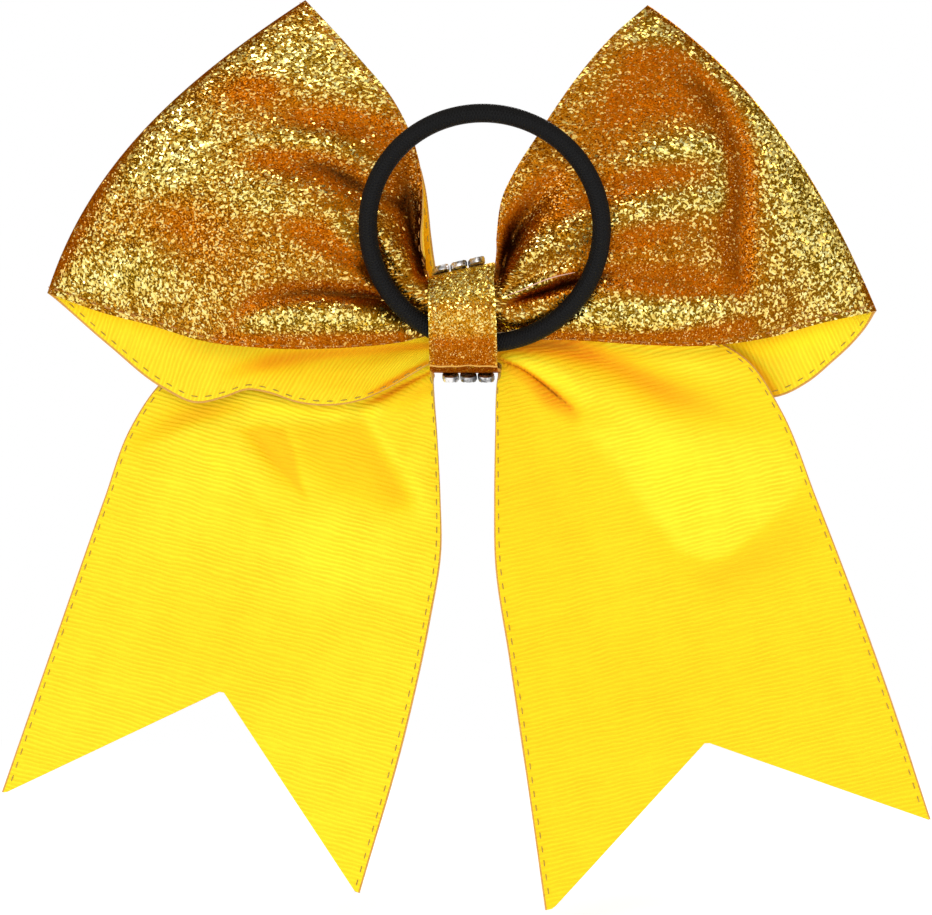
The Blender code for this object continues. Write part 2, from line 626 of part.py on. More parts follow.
# ---- hair tie ------------------------------------------------------------------------------------
CORD_R = 1.85  # elastic cord, 3.7 mm
CORD_CORE_R = 1.05
CORD_CLEARANCE = 0.2  # core to cover, and cover to sleeve
SLEEVE_WALL = 0.25
TIE_RING_R = 23.2  # centreline radius: a 50 mm hair tie
TIE_LEAN = math.radians(16.0)  # the tie leans back off the loops
TIE_HINGE = Vector((0.2, -7.15, -3.1))  # at the trapped stretch of cord
TIE_HINGE_TILT = math.radians(-10.5)  # the trapped stretch runs a little downhill to the right
RING_BELOW_HINGE = 0.45  # from the hinge down to the ring's centreline
SLEEVE_HALF_ANGLE = math.radians(9.0)
CORD_GAP_HALF_ANGLE = math.radians(0.8)  # between the cord's two ends


def build_hair_tie():
    """A ring of elastic cord whose ends meet inside a short sleeve, hidden under the wrap.

    The ring lies in a plane through the trapped stretch of cord.
    """
    tie = empty("hair_tie_hinge", TIE_HINGE)
    chord = Vector((math.cos(TIE_HINGE_TILT), 0, math.sin(TIE_HINGE_TILT)))
    upward = Vector((-chord.z, 0, chord.x))
    backward = Vector((0, -1, 0))
    lean = (upward * math.cos(TIE_LEAN) + backward * math.sin(TIE_LEAN)).normalized()
    centre = TIE_HINGE + lean * (TIE_RING_R - RING_BELOW_HINGE)

    def arc(first, last, steps):
        """Points of the ring's centreline; angle 0 is the middle of the trapped stretch."""
        return [
            centre
            + chord * (TIE_RING_R * math.sin(angle))
            - lean * (TIE_RING_R * math.cos(angle))
            for angle in spaced(first, last, steps)
        ]

    cord = arc(CORD_GAP_HALF_ANGLE, 2 * math.pi - CORD_GAP_HALF_ANGLE, 36)
    tube("hair_tie_cover", cord, CORD_R, 8, BLACK, tie, bore=CORD_CORE_R + CORD_CLEARANCE)
    tube("hair_tie_core", cord, CORD_CORE_R, 6, RUBBER, tie)
    sleeve = arc(-SLEEVE_HALF_ANGLE, SLEEVE_HALF_ANGLE, 4)
    sleeve_bore = CORD_R + CORD_CLEARANCE
    tube("hair_tie_join", sleeve, sleeve_bore + SLEEVE_WALL, 8, BLACK, tie, bore=sleeve_bore)


# ---- the model -----------------------------------------------------------------------------------
def build_bow():
    knot = empty("knot", -KNOT_CENTRE)
    build_loops(knot)
    build_tail(knot, "left", LEFT_TAIL, glitter_side=1, notch=0.722, hinge_x=-33.0, hinge_y=8.6)
    build_tail(knot, "right", RIGHT_TAIL, glitter_side=-1, notch=0.796, hinge_x=33.0, hinge_y=1.3)
    build_gathers(knot)
    build_binding_thread(knot)
    build_centre_wrap(knot)
    build_wrap_glue(knot)
    for label, column in (("left", -1), ("middle", 0), ("right", 1)):
        build_cup_chain(knot, label, column * CRYSTAL_PITCH)
    build_hair_tie()


build_bow()
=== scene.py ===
"""A cheer hair bow: two loops and two tails of wide ribbon, a knot wrapped with a glitter strip
and three chains of crystals, and a black hair tie.

Every sheet of ribbon is two layers, grosgrain and glitter fabric, on one parametric surface.
Shapes are in millimetres from the centre of the knot: x right, z up, and y away from the hair
tie, so that "back" is the hair-tie side (-y) and "front" is +y.
"""

import json
import math

import bpy
import numpy as np
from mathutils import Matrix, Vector


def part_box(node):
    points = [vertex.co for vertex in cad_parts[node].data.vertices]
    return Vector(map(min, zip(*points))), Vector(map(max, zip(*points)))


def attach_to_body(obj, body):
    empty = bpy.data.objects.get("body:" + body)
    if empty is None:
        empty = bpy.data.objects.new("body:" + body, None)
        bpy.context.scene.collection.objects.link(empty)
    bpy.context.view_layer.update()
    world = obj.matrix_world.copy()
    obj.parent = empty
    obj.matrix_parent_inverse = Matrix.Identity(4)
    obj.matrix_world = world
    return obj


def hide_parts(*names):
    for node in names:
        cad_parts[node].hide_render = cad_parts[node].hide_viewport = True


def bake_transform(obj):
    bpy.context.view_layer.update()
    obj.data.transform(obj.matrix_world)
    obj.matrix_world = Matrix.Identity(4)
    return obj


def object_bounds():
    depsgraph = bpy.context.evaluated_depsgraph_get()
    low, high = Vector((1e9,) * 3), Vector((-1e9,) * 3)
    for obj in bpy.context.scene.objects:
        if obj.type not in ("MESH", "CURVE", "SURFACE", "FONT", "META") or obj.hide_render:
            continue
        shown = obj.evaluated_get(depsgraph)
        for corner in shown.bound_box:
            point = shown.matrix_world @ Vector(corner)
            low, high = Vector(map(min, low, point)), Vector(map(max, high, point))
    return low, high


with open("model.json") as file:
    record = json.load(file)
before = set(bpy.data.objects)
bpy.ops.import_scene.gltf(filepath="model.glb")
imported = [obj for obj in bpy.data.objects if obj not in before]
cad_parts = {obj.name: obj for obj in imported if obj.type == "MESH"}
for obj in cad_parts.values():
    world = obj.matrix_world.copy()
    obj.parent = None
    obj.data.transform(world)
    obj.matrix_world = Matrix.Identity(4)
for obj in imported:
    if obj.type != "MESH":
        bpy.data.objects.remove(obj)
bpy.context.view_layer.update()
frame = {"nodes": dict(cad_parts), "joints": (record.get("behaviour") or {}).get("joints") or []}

MM = 0.001
RIBBON_W = 76.0
WRAP_HALF_DEPTH = 10.9  # from the back of the wrap to the centre of the knot
KNOT = np.array((0.0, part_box("centre_wrap")[0].y * 1000 + WRAP_HALF_DEPTH, 0.0))

# layers of a ribbon: the gap between them is centred on the surface
GAP, GROSGRAIN_THICK, GLITTER_THICK = 0.06, 0.38, 0.42
OVERHANG = 0.35 / RIBBON_W  # the glitter fabric stands out past the grosgrain, as a share of width
SEAM_INSET = 0.78 / RIBBON_W
LOOP_ROWS, TAIL_ROWS, COLUMNS = 120, 200, 77
BEND_START, BEND_END = -17.0, -23.0  # heights between which a tail comes free of the knot

TIE_R, CORD_R = 23.2, 1.85
CUP_R, STONE_R, STONE_SINK = 1.70, 1.42, 0.18
CHAIN_ROWS = 8

# ------------------------------------------------------------------------------- ribbon outlines
# Loop edges and middle line from the knot out to the fold: (x, z).
# "bow" is how far (x, z) the fold line bends in an S between the middle and the edges.
# "bulge" shapes the front: depth, power along the loop, share at the lower edge, y at the knot.
LEFT_LOOP = {
    "bow": (4.9, -4.3),
    "bulge": dict(depth=4.6, power=1.0, lower=0.45, at_knot=0.2),
    "back": {
        "low": [(0, -6.4), (-3.2, -5.4), (-6, -3.7), (-6.8, -3.4), (-12.8, -4.4), (-26.8, -5.6),
                (-40.8, -5.4), (-51.8, -4), (-61.8, -1), (-72.8, 2), (-82.8, 5.6)],
        "mid": [(0, 2.4), (-3.6, 2.2), (-6.8, 2.2), (-12.8, 4.4), (-22, 10.4), (-35.6, 20),
                (-47.2, 28.2), (-56.4, 34.8), (-62.5, 39)],
        "top": [(0, 7.2), (-3.6, 7), (-6.4, 7.2), (-7.8, 11.2), (-8.4, 16), (-8.2, 21.6),
                (-8.5, 28), (-10.6, 36), (-14.6, 43.8), (-21.2, 51.8), (-31.8, 63.4)],
    },
    "front": {
        "low": [(0, -8.4), (-3.6, -8.6), (-6.6, -8.6), (-9.6, -10.2), (-15.6, -13.6),
                (-21.4, -16), (-28, -16.8), (-33.4, -16.2), (-39.4, -14.2), (-43.4, -13.6),
                (-48.4, -15.2), (-53.6, -16.2), (-60.4, -13.2), (-70.8, -5), (-82.8, 5.6)],
        "mid": [(0, -1.2), (-3.6, -1.2), (-6.8, -1), (-12.8, 0.8), (-21.6, 6), (-34.6, 15),
                (-46.4, 24.4), (-56, 32.6), (-62.5, 39)],
        "top": [(0, 6.8), (-3.6, 6.8), (-5.4, 8), (-6.2, 11.6), (-6.8, 16.4), (-7.3, 21.6),
                (-8, 26.8), (-10.2, 34.4), (-14.6, 43.2), (-21.6, 51.6), (-31.8, 63.4)],
    },
}
RIGHT_LOOP = {
    "bow": (3.2, 2.4),
    "bulge": dict(depth=7.4, power=0.85, lower=0.75, at_knot=2.6),
    "back": {
        "low": [(0, -6.4), (3.2, -5.4), (6.2, -3.5), (7.2, -3.2), (11.2, -3.6), (23.2, -4),
                (35.2, -4.8), (47.2, -5), (59.2, -3.6), (71.2, -0.4), (82, 2)],
        "mid": [(0, 2.4), (3.6, 2.4), (7.2, 2.4), (13.2, 4.6), (22.4, 11), (36, 19),
                (47.8, 26.2), (57.6, 31.8), (63.96, 35.6)],
        "top": [(0, 7.2), (3.6, 7.2), (5.8, 8.8), (6.4, 12.4), (6.8, 18.4), (7.8, 24),
                (10.6, 29.8), (14.6, 36), (18.4, 41.8), (22.8, 48), (30, 56.4), (36.8, 62.4)],
    },
    "front": {
        "low": [(0, -8.6), (4, -8.8), (7.4, -8.8), (15.2, -12.8), (31.2, -15.8), (47.2, -16),
                (58.2, -15.4), (63.4, -14.8), (69, -12), (73.8, -8), (78, -4), (80.8, -0.4),
                (82, 2)],
        "mid": [(0, -1.2), (4, -1.2), (7.2, -1.2), (13.2, 0.8), (22, 5.4), (35.2, 13),
                (47.2, 21.2), (57.2, 29.4), (63.96, 35.6)],
        "top": [(0, 6.4), (3.6, 6.4), (6.4, 8.4), (7, 12.4), (7.6, 18.2), (8.8, 23.6),
                (11.8, 29.2), (15.8, 35.4), (19.6, 41.2), (24, 47.4), (30.8, 55.8),
                (36.8, 62.4)],
    },
}

# Tail edges and middle line from the knot to the tips: (x, y, z), before the end is cut from
# the notch to the two tips. Tips and notch: (x, z).
LEFT_TAIL = {
    "inner": [(0, 2, -8.4), (-3.6, 2.4, -8.4), (-6.2, 3.2, -9.2), (-6.2, 4.6, -13),
              (-5.5, 8, -24), (-5, 8.4, -36), (-4.9, 7.4, -46), (-7.1, 5, -60),
              (-12.4, 2.4, -84), (-21.2, 1, -114.6)],
    "mid": [(0, 2, -2), (-3.6, 2.2, -2), (-6.4, 3, -3.6), (-14.4, 5.6, -6.8),
            (-27.2, 8.4, -16.8), (-36, 8.3, -30), (-40.8, 7.2, -44), (-44, 5.2, -58),
            (-50, 2.6, -81.4), (-56.7, 1, -104.5)],
    "outer": [(0, 2, 5.6), (-3.6, 2.2, 5.6), (-7.2, 3, 4.8), (-23.6, 7.6, 2.4),
              (-45.6, 9.8, -3.6), (-60.8, 9.2, -12.4), (-67.2, 8.4, -22), (-72.2, 6.8, -36),
              (-80.5, 3.6, -60.4), (-92.2, 1, -94.6)],
    "notch": (-48.5, -74.2),
    "inner_tip": (-21.7, -114.6),
    "outer_tip": (-92.2, -94.8),
    "tone": 0.88,
}
RIGHT_TAIL = {
    "inner": [(0, 0.2, -8.4), (3.6, 0.2, -8.4), (7, 0.2, -8.8), (6.6, 0.8, -13),
              (6.4, 1.2, -24), (6.3, 1.4, -36), (6.5, 1.4, -48), (9.4, 1, -68),
              (13.2, 0.4, -94), (16.6, 0, -118)],
    "mid": [(0, 0.2, -2), (3.6, 0.2, -2), (7.2, 0.2, -3.6), (15.2, 0.9, -7.2),
            (27.2, 1.4, -16.8), (35, 1.4, -30), (39.8, 1.4, -44), (43.2, 1.1, -60),
            (48.2, 0.4, -85), (54.8, 0, -109)],
    "outer": [(0, 0.2, 5.6), (3.6, 0.2, 5.6), (7.6, 0, 4.8), (25.2, 0.3, 2.8),
              (45.2, 0.9, -2), (57.2, 1.2, -8.8), (63.2, 1.3, -18), (70.4, 1, -36),
              (84.6, 0.4, -74.4), (93, 0, -100)],
    "notch": (48.4, -84.4),
    "inner_tip": (17.6, -118),
    "outer_tip": (93, -100),
    "tone": 0.74,
}

# --------------------------------------------------------------------------------- soft creases
# Each line is a ridge (+) or groove (-) through stations (x, z, width, height).
# On the loops plus is out of the loop; on the tails plus is towards the back.
LEFT_LOOP["back_folds"] = [
    [(-5.6, -1.2, 1.5, 0.5), (-12.8, -0.4, 2.2, 1.3), (-21.8, 0.4, 2.6, 1.6),
     (-32.8, 0.8, 2.8, 1.5), (-40.4, -0.2, 2.6, 1), (-45.2, -2.8, 2.4, 0)],
    [(-6.4, 1.2, 1, -0.6), (-13.8, 3.4, 1.6, -2), (-24.8, 5, 2, -2.4),
     (-34.8, 4.8, 2.2, -2.1), (-41.2, 3.2, 2.2, -1.4), (-45.6, -0.8, 2.4, 0)],
    [(-6.8, 4, 1.2, 0.3), (-12.8, 8, 2, 0.8), (-20.8, 10.4, 2.8, 0.8),
     (-30.8, 11.6, 3.2, 0.6), (-40.4, 9.6, 4.2, 0)],
    [(-14.4, 7.6, 1.6, 0), (-22.8, 12.4, 2.2, -1.2), (-30.8, 16.4, 2.8, -1.2),
     (-38.8, 19.6, 3.4, 0)],
    [(-20.4, 24.8, 2.8, 0), (-17.8, 18.8, 2.3, 1.9), (-13.6, 12.4, 1.6, 2.2),
     (-7.2, 5.6, 0.9, 0.9)],
    [(-13.6, 34, 3.4, 0), (-11.2, 24.8, 2.8, -3), (-10, 16.4, 2.2, -4), (-7.2, 7.6, 1, -1.6)],
    [(-16.8, 18.8, 1.6, 0), (-21.2, 25.6, 1.9, -1.9), (-27.2, 29.6, 2.3, -2),
     (-34.8, 31.2, 2.6, -1.4), (-44.8, 30.8, 3, 0)],
    [(-22.4, 16.8, 2, 0), (-28.8, 23.2, 2.5, 1.1), (-36.8, 26, 2.8, 1.1),
     (-45.2, 26.4, 3.2, 0)],
    [(-13.6, 26, 1.8, 0), (-20, 31.6, 2.4, 1.4), (-28.4, 34.8, 2.8, 1.3),
     (-40.4, 36.2, 3.4, 0)],
    [(-10.8, 34, 2, 0), (-19.6, 38.8, 2.6, -1.4), (-32.8, 40.4, 3.4, -1.6),
     (-42.8, 43.2, 4, 0)],
    [(-59.8, 28, 4.5, 0), (-54.8, 16.8, 5, -1.2), (-50, 2.8, 4.5, 0)],
    [(-68.8, 16, 3.2, 0), (-63.8, 9, 3.6, 0.6), (-58.8, 1.6, 3.2, 0)],
    [(-26.8, 52, 4.5, 0), (-34.8, 49, 5, 0.7), (-42.8, 45, 4.5, 0)],
]
RIGHT_LOOP["back_folds"] = [
    [(6.8, -1, 1.6, 0.5), (15.2, -0.6, 2.2, 1.2), (27.2, 0.2, 2.8, 1.5), (39.2, 0.6, 3, 1.6),
     (51.6, 1.6, 3.4, 1.6), (59.6, 6, 4, 1.2), (64, 16, 4.4, 0.9), (65.2, 26, 4.6, 0.6),
     (62.8, 36, 5, 0)],
    [(40.8, 52, 3.2, 0), (48.4, 45.6, 3, -1.6), (53.8, 36.4, 3, -2.3), (54.8, 26, 3, -2.4),
     (54.2, 16.4, 3, -2.2), (54.8, 8, 2.8, -1.8), (52.4, 4, 2.4, 0)],
    [(7.8, 4.2, 0.7, 0.4), (12.8, 6.2, 0.9, 1.2), (16.8, 7.6, 1.1, 1.5),
     (25.6, 10.4, 1.5, 1.1), (35.2, 12, 2.4, 0)],
    [(8.8, 3.2, 0.8, -0.7), (13.6, 4.8, 1, -2.4), (18.4, 6.4, 1.2, -2.8), (28, 8.6, 1.7, -2),
     (37.2, 8.8, 2.4, -1.6), (47.2, 6.8, 2.8, -1.3), (53.6, 4.8, 2.4, 0)],
    [(7.2, 6, 1.1, 0.6), (12.4, 11.6, 1.8, 1.7), (19.2, 15.6, 2.4, 1.7), (28, 19.6, 2.8, 1.4),
     (37.2, 22.4, 3.2, 1.1), (48.4, 24, 3.2, 0)],
    [(6.6, 7.2, 0.9, -1.2), (8.4, 13.2, 1.7, -3.6), (11.2, 18.8, 2.3, -3.6),
     (16, 24.8, 2.6, -2.2), (20.4, 30.8, 3.4, 0)],
    [(23.2, 24.8, 2.4, 0), (32, 29.6, 2.6, 1.2), (40.8, 33.6, 2.8, 1.4), (48.4, 34, 2.8, 1.1),
     (51.6, 30.4, 2.8, 0)],
    [(19.2, 18.8, 1.8, 0), (28, 24.8, 2.4, -1.2), (37.2, 28, 2.8, -1.1), (47.2, 28.8, 2.8, 0)],
    [(25.2, 14.4, 2.2, 0), (35.2, 17.2, 2.8, -1), (45.2, 19.6, 3, -0.9), (50.4, 19.2, 3, 0)],
    [(26.4, 37.2, 5, 0), (35.2, 44.4, 6, -1.7), (45.2, 48.4, 5, 0)],
]
LEFT_LOOP["front_folds"] = [
    [(-6.4, -5, 1.4, 0.4), (-13.6, -6.4, 2.2, 1), (-22.8, -8, 3, 1.3), (-34.8, -8.4, 3.6, 1),
     (-46.8, -6, 4.2, 0)],
    [(-6.4, -2.4, 1.2, -0.6), (-13.8, -2.8, 2, -1.2), (-24.8, -2.8, 2.8, -1.6),
     (-38.8, -1.2, 3.4, -1.2), (-52.8, 3.2, 4.2, 0)],
    [(-6.4, 0.4, 1.2, 0.5), (-13.8, 3.2, 2.2, 1.2), (-23.8, 8, 3, 1.7),
     (-36.8, 14.8, 3.8, 1.3), (-48.8, 19.6, 4.6, 0)],
    [(-6.4, 3.2, 1.2, -0.6), (-11.8, 9.2, 2, -1.6), (-18.8, 16.8, 2.8, -2),
     (-27.8, 24.8, 3.4, -1.4), (-36.8, 30.4, 4.2, 0)],
    [(-6, 5.6, 1, 0.3), (-8.8, 12.8, 2, 1.2), (-12, 21.2, 2.8, 1.6), (-17.2, 30.4, 3.4, 1.2),
     (-24.8, 38.4, 4.4, 0)],
    [(-32.8, 46, 5, 0), (-44.8, 38, 6, 0.8), (-56.8, 26, 5, 0)],
]
RIGHT_LOOP["front_folds"] = [
    [(7.2, -5, 1.4, 0.4), (15.2, -7.2, 2.2, 1), (25.2, -8.8, 3, 1.3), (39.2, -9.2, 3.6, 1),
     (55.2, -6.4, 4.2, 0)],
    [(7.2, -2.4, 1.2, -0.6), (15.2, -2.8, 2, -1.2), (27.2, -2.8, 2.8, -1.6),
     (41.2, -0.8, 3.4, -1.2), (55.2, 4, 4.2, 0)],
    [(7.2, 0.4, 1.2, 0.5), (15.2, 3.2, 2.2, 1.2), (25.2, 8, 3, 1.7), (37.2, 14.4, 3.8, 1.3),
     (50.2, 18.8, 4.6, 0)],
    [(7, 3.2, 1.2, -0.6), (12.4, 9.2, 2, -1.6), (19.2, 16.4, 2.8, -2), (28.4, 24, 3.4, -1.4),
     (38.2, 29.6, 4.2, 0)],
    [(6.8, 5.6, 1, 0.3), (9.2, 12.8, 2, 1.2), (13.2, 21.2, 2.8, 1.6), (18.8, 30, 3.4, 1.2),
     (26.4, 38, 4.4, 0)],
    [(35.2, 46.8, 5, 0), (47.2, 38, 6, 0.8), (59.2, 26, 5, 0)],
]
LEFT_TAIL["folds"] = [
    [(-6.4, -10.2, 0.8, -0.5), (-12.4, -13.2, 1.1, -1.1), (-18.8, -16.2, 1.5, -0.9),
     (-25.6, -18.4, 2.2, 0)],
    [(-6.4, -11.6, 1.2, 0.3), (-12.8, -15.2, 1.8, 0.6), (-19.6, -18.8, 2.4, 0)],
    [(-22.8, -20.8, 1.8, 0), (-17.2, -28.4, 2.6, -0.7), (-13.2, -34, 2.8, -0.7),
     (-11.2, -42, 2.6, 0)],
    [(-8.8, -20, 2.4, 0), (-9.2, -30, 3, 0.7), (-8, -45, 3.2, 0)],
    [(-44.8, -21.2, 1.6, 0), (-40.4, -26, 2.1, -0.9), (-36.8, -30.8, 2.1, -0.8),
     (-32.4, -36, 1.8, 0)],
    [(-47.2, -19.6, 2.2, 0), (-44, -26.4, 2.6, 0.5), (-39.2, -34.4, 2.6, 0)],
    [(-13.8, -43, 6, 0), (-24.8, -47.2, 8, 0.9), (-38.8, -47.2, 8, 0)],
    [(-62.8, -21.6, 3, 0), (-54.8, -18.8, 3.4, -0.8), (-44, -16.8, 3.4, 0)],
    [(-68.8, -44, 7, 0), (-52.8, -32, 9, 0.9), (-34.8, -24, 6, 0)],
]
RIGHT_TAIL["folds"] = [
    [(7.2, -8, 0.5, -0.6), (11.6, -9.8, 0.6, -1), (15.6, -12.6, 0.7, -1.1),
     (18.8, -15.2, 0.8, -0.8), (22, -18, 0.9, 0)],
    [(7.8, -6.4, 1.2, 0.3), (19.2, -10.8, 2.6, 0.9), (31.2, -18.4, 4.4, 1.4),
     (43.2, -30.8, 6.5, 1.5), (48.8, -45, 8, 0)],
    [(27.2, -26, 2.6, 0), (35.2, -37.2, 3, -0.3), (42.4, -47.2, 3.4, -0.45),
     (48.8, -50.4, 3.4, -0.5), (59.2, -46.4, 3.4, -0.4), (68.4, -38.4, 3, 0)],
    [(13.2, -5.2, 1, 0), (22.2, -6.4, 1.9, -1.1), (30, -8.8, 2.6, -1.1),
     (40.8, -14.4, 3.4, -0.7), (52, -18.8, 3.6, 0)],
    [(15.2, -24, 5, 0), (19.2, -36, 7, -0.5), (25.2, -48, 8, 0)],
]

# ----------------------------------------------------------------------------------- tone zones: painted light and shade
# Bright (+) and deep (-) streaks of painted light and shade in the cloth's tone, through stations (x,
# z, width, strength).
LEFT_LOOP["glitter_zones"] = [
    [(-31.8, 63.4, 1.2, -0.55), (-42.8, 56.4, 1.2, -0.6), (-52.8, 49, 1.3, -0.6),
     (-63.4, 39.8, 1.7, -0.75), (-71.8, 28, 2, -0.8), (-77.8, 17, 2, -0.8),
     (-82.8, 5.6, 1.4, -0.6)],
    [(-44.8, 42, 12, -0.1), (-28.8, 30, 14, -0.22), (-18.4, 18.8, 12, -0.2)],
    [(-70.8, 26.8, 5, 0.1), (-59.8, 29.6, 6, 0.55), (-47.2, 30.8, 5, 0.2)],
    [(-42.8, 50.8, 5, 0.3), (-31.8, 51.6, 7, 0.5), (-18.4, 46.4, 5, 0.35)],
    [(-79.6, 6.4, 4, 0.35), (-68.8, 8.8, 6, 0.55), (-54.8, 6.4, 6, 0.15)],
    [(-60.8, 44, 4, 0.2), (-52.8, 38, 5, 0.3), (-44.8, 36.8, 4, 0.1)],
    [(-48, 44.4, 2.6, -0.2), (-41.8, 46, 3.6, -0.75), (-34.8, 46, 2.6, -0.2)],
    [(-64.8, 22.4, 5, -0.15), (-56.8, 19.6, 6, -0.32), (-48.4, 13.6, 6, -0.2)],
    [(-15.2, 38, 3, -0.2), (-11.8, 29, 3, -1), (-10, 21, 2.3, -2.2), (-9.2, 15, 1.8, -2.4),
     (-8.6, 9.2, 1.4, -2.4)],
    [(-32.8, 30.8, 1.2, -0.2), (-26, 29.4, 1.6, -0.8), (-19.6, 26, 1.8, -1.2),
     (-13.2, 22.6, 1.5, -1.2)],
    [(-40.4, 3.2, 1, -0.3), (-34.8, 4.6, 1.2, -0.7), (-26.8, 5, 1.2, -0.9), (-16, 4.2, 1, -1)],
    [(-48.8, -4.2, 1.7, -0.6), (-32.8, -4.6, 1.7, -0.8), (-12.8, -3.6, 1.4, -0.8)],
    [(-36, 19.6, 2.4, -0.2), (-28.8, 16.4, 3.2, -0.6), (-18.8, 9.6, 2.4, -0.4)],
    [(-26.8, 22.4, 2, 0), (-24, 17.6, 2.4, 0.5), (-20.8, 12.8, 2, 0.1)],
    [(-50, 24.8, 3.2, 0.1), (-40.4, 24, 3.6, 0.45), (-29.2, 21.2, 2.6, 0.2)],
    [(-44, 31.6, 2, -0.2), (-34.8, 31.4, 2.5, -0.6), (-26.8, 29.8, 2.5, -0.8),
     (-20.8, 25.6, 2, -0.6)],
    [(-43.2, 36, 1.8, 0.2), (-32.8, 35.6, 2.2, 0.5), (-22.8, 33.6, 2, 0.3)],
    [(-32.8, 40.4, 2.6, -0.3), (-22.8, 39.2, 3.2, -0.6), (-13.6, 36, 2.8, -0.5)],
    [(-45.6, -0.4, 1.8, -0.4), (-41.2, 3.4, 2, -0.7), (-32.8, 5.4, 2, -0.8),
     (-16.8, 4.6, 1.6, -0.9)],
    [(-43.6, -0.8, 2, 0.3), (-30.8, 0, 2.2, 0.5), (-12.8, -1.2, 1.8, 0.3)],
]
RIGHT_LOOP["glitter_zones"] = [
    [(36.8, 62.4, 1.1, -0.5), (47.2, 54, 1.1, -0.5), (56.8, 44.8, 1.1, -0.5),
     (65, 36, 1.1, -0.5), (71.2, 26, 1.1, -0.5), (77.2, 14, 1.1, -0.5), (82, 2, 1.1, -0.5)],
    [(34.4, 59.2, 4, 0.35), (48, 50.8, 5, 0.5), (60, 38, 7, 0.55), (67.2, 25, 8, 0.6),
     (72.4, 13, 8, 0.6), (75.6, 2.8, 6, 0.35)],
    [(33.2, 52, 2.6, -0.3), (41.4, 52, 3.2, -0.9), (48.4, 45.8, 3.2, -1), (54, 36.8, 3.4, -1.1),
     (55, 25.8, 3.4, -1.1), (54.2, 16.4, 3.4, -1), (55, 6.4, 2.8, -0.6)],
    [(28.4, 40.4, 4.5, -0.25), (37.2, 45.6, 6, -0.7), (47.2, 43.2, 5, -0.5)],
    [(15.2, 34, 8, -0.15), (27.2, 34, 9, -0.22), (39.2, 22, 9, -0.2), (45.2, 14, 8, -0.15)],
    [(31.6, 30.8, 2, 0.2), (40.8, 33.6, 2.4, 0.55), (48.4, 33.6, 2.2, 0.55),
     (51.2, 29, 2, 0.5), (50.4, 23, 2.4, 0.4)],
    [(19.2, 20.8, 2, -0.4), (28, 25.2, 2.6, -0.6), (37.2, 28, 2.8, -0.5), (48, 29.6, 2.2, -0.2)],
    [(29.2, 19.2, 3, 0.2), (39.2, 22.4, 3.2, 0.55), (50.4, 24, 2.8, 0.35)],
    [(26.2, 13.6, 2.4, -0.4), (34.4, 16.4, 2.8, -0.6), (41.6, 18, 2.2, -0.2)],
    [(19.2, 7.6, 1.6, -0.7), (31.2, 8.4, 2.8, -0.8), (43.2, 6.6, 3.4, -0.8),
     (54.2, 5.2, 3, -0.4)],
    [(25.2, 1.4, 3, 0.4), (43.2, 1.4, 3.2, 0.6), (55.2, 4, 3.4, 0.4)],
    [(15.2, -3.8, 1.8, -0.8), (35.2, -4.4, 2, -0.9), (47.2, -3.2, 2.6, -0.8),
     (55.6, -1.2, 2.6, -0.6)],
    [(7.2, 9.2, 1.5, -2.4), (9.2, 14.8, 2.4, -2.1), (12, 20, 3.2, -1.3), (18.4, 26.8, 4, -0.4)],
    [(9.6, 3.2, 0.9, -1.2), (16.2, 5.6, 1.3, -1.6), (27.2, 8.8, 1.6, -0.9)],
    [(7.8, 4.2, 0.4, 0.6), (12.8, 6.2, 0.5, 1.1), (16.8, 7.6, 0.5, 0.6)],
]
LEFT_LOOP["grosgrain_zones"] = [
    [(-42.8, -8.4, 2.4, 0), (-30.8, -12, 2.8, -0.1), (-18.4, -13.6, 2.2, -0.16),
     (-8, -10.4, 1.6, -0.2)],
    [(-6.8, -5.2, 1, -0.8), (-13.8, -5.4, 1.2, -0.75), (-20.8, -5.8, 1.4, -0.7),
     (-30.8, -6.8, 1.7, -0.75), (-39.2, -8.4, 2, -0.75), (-47.6, -10.8, 1.6, -0.2)],
    [(-6.6, -8.2, 0.4, -1.2), (-10.8, -10.6, 0.6, -1.4), (-15.2, -13, 0.6, -1.2),
     (-19.4, -15, 0.4, -0.5)],
    [(-78.8, 4, 1.4, 0.3), (-72.8, 1.2, 2, 0.45), (-64.8, -1.2, 2.2, 0.45),
     (-52.8, -4.8, 1.6, 0.1)],
    [(-7.4, 28, 2.4, -0.55), (-6.8, 18, 2.4, -0.65), (-6, 8, 2.4, -0.7)],
]
RIGHT_LOOP["grosgrain_zones"] = [
    [(52, -5, 0.7, -0.6), (56, -7, 1, -0.75), (59.4, -10.2, 1.1, -0.75), (63.2, -15.2, 1, -0.6)],
    [(54.4, -5.2, 1.6, 0.5), (61.2, -5.6, 2.2, 0.75), (69.2, -3.2, 2.2, 0.75),
     (77.2, 0, 1.6, 0.4)],
    [(67.2, -10, 2.6, 0.15), (73.2, -6, 2.6, 0.15)],
]
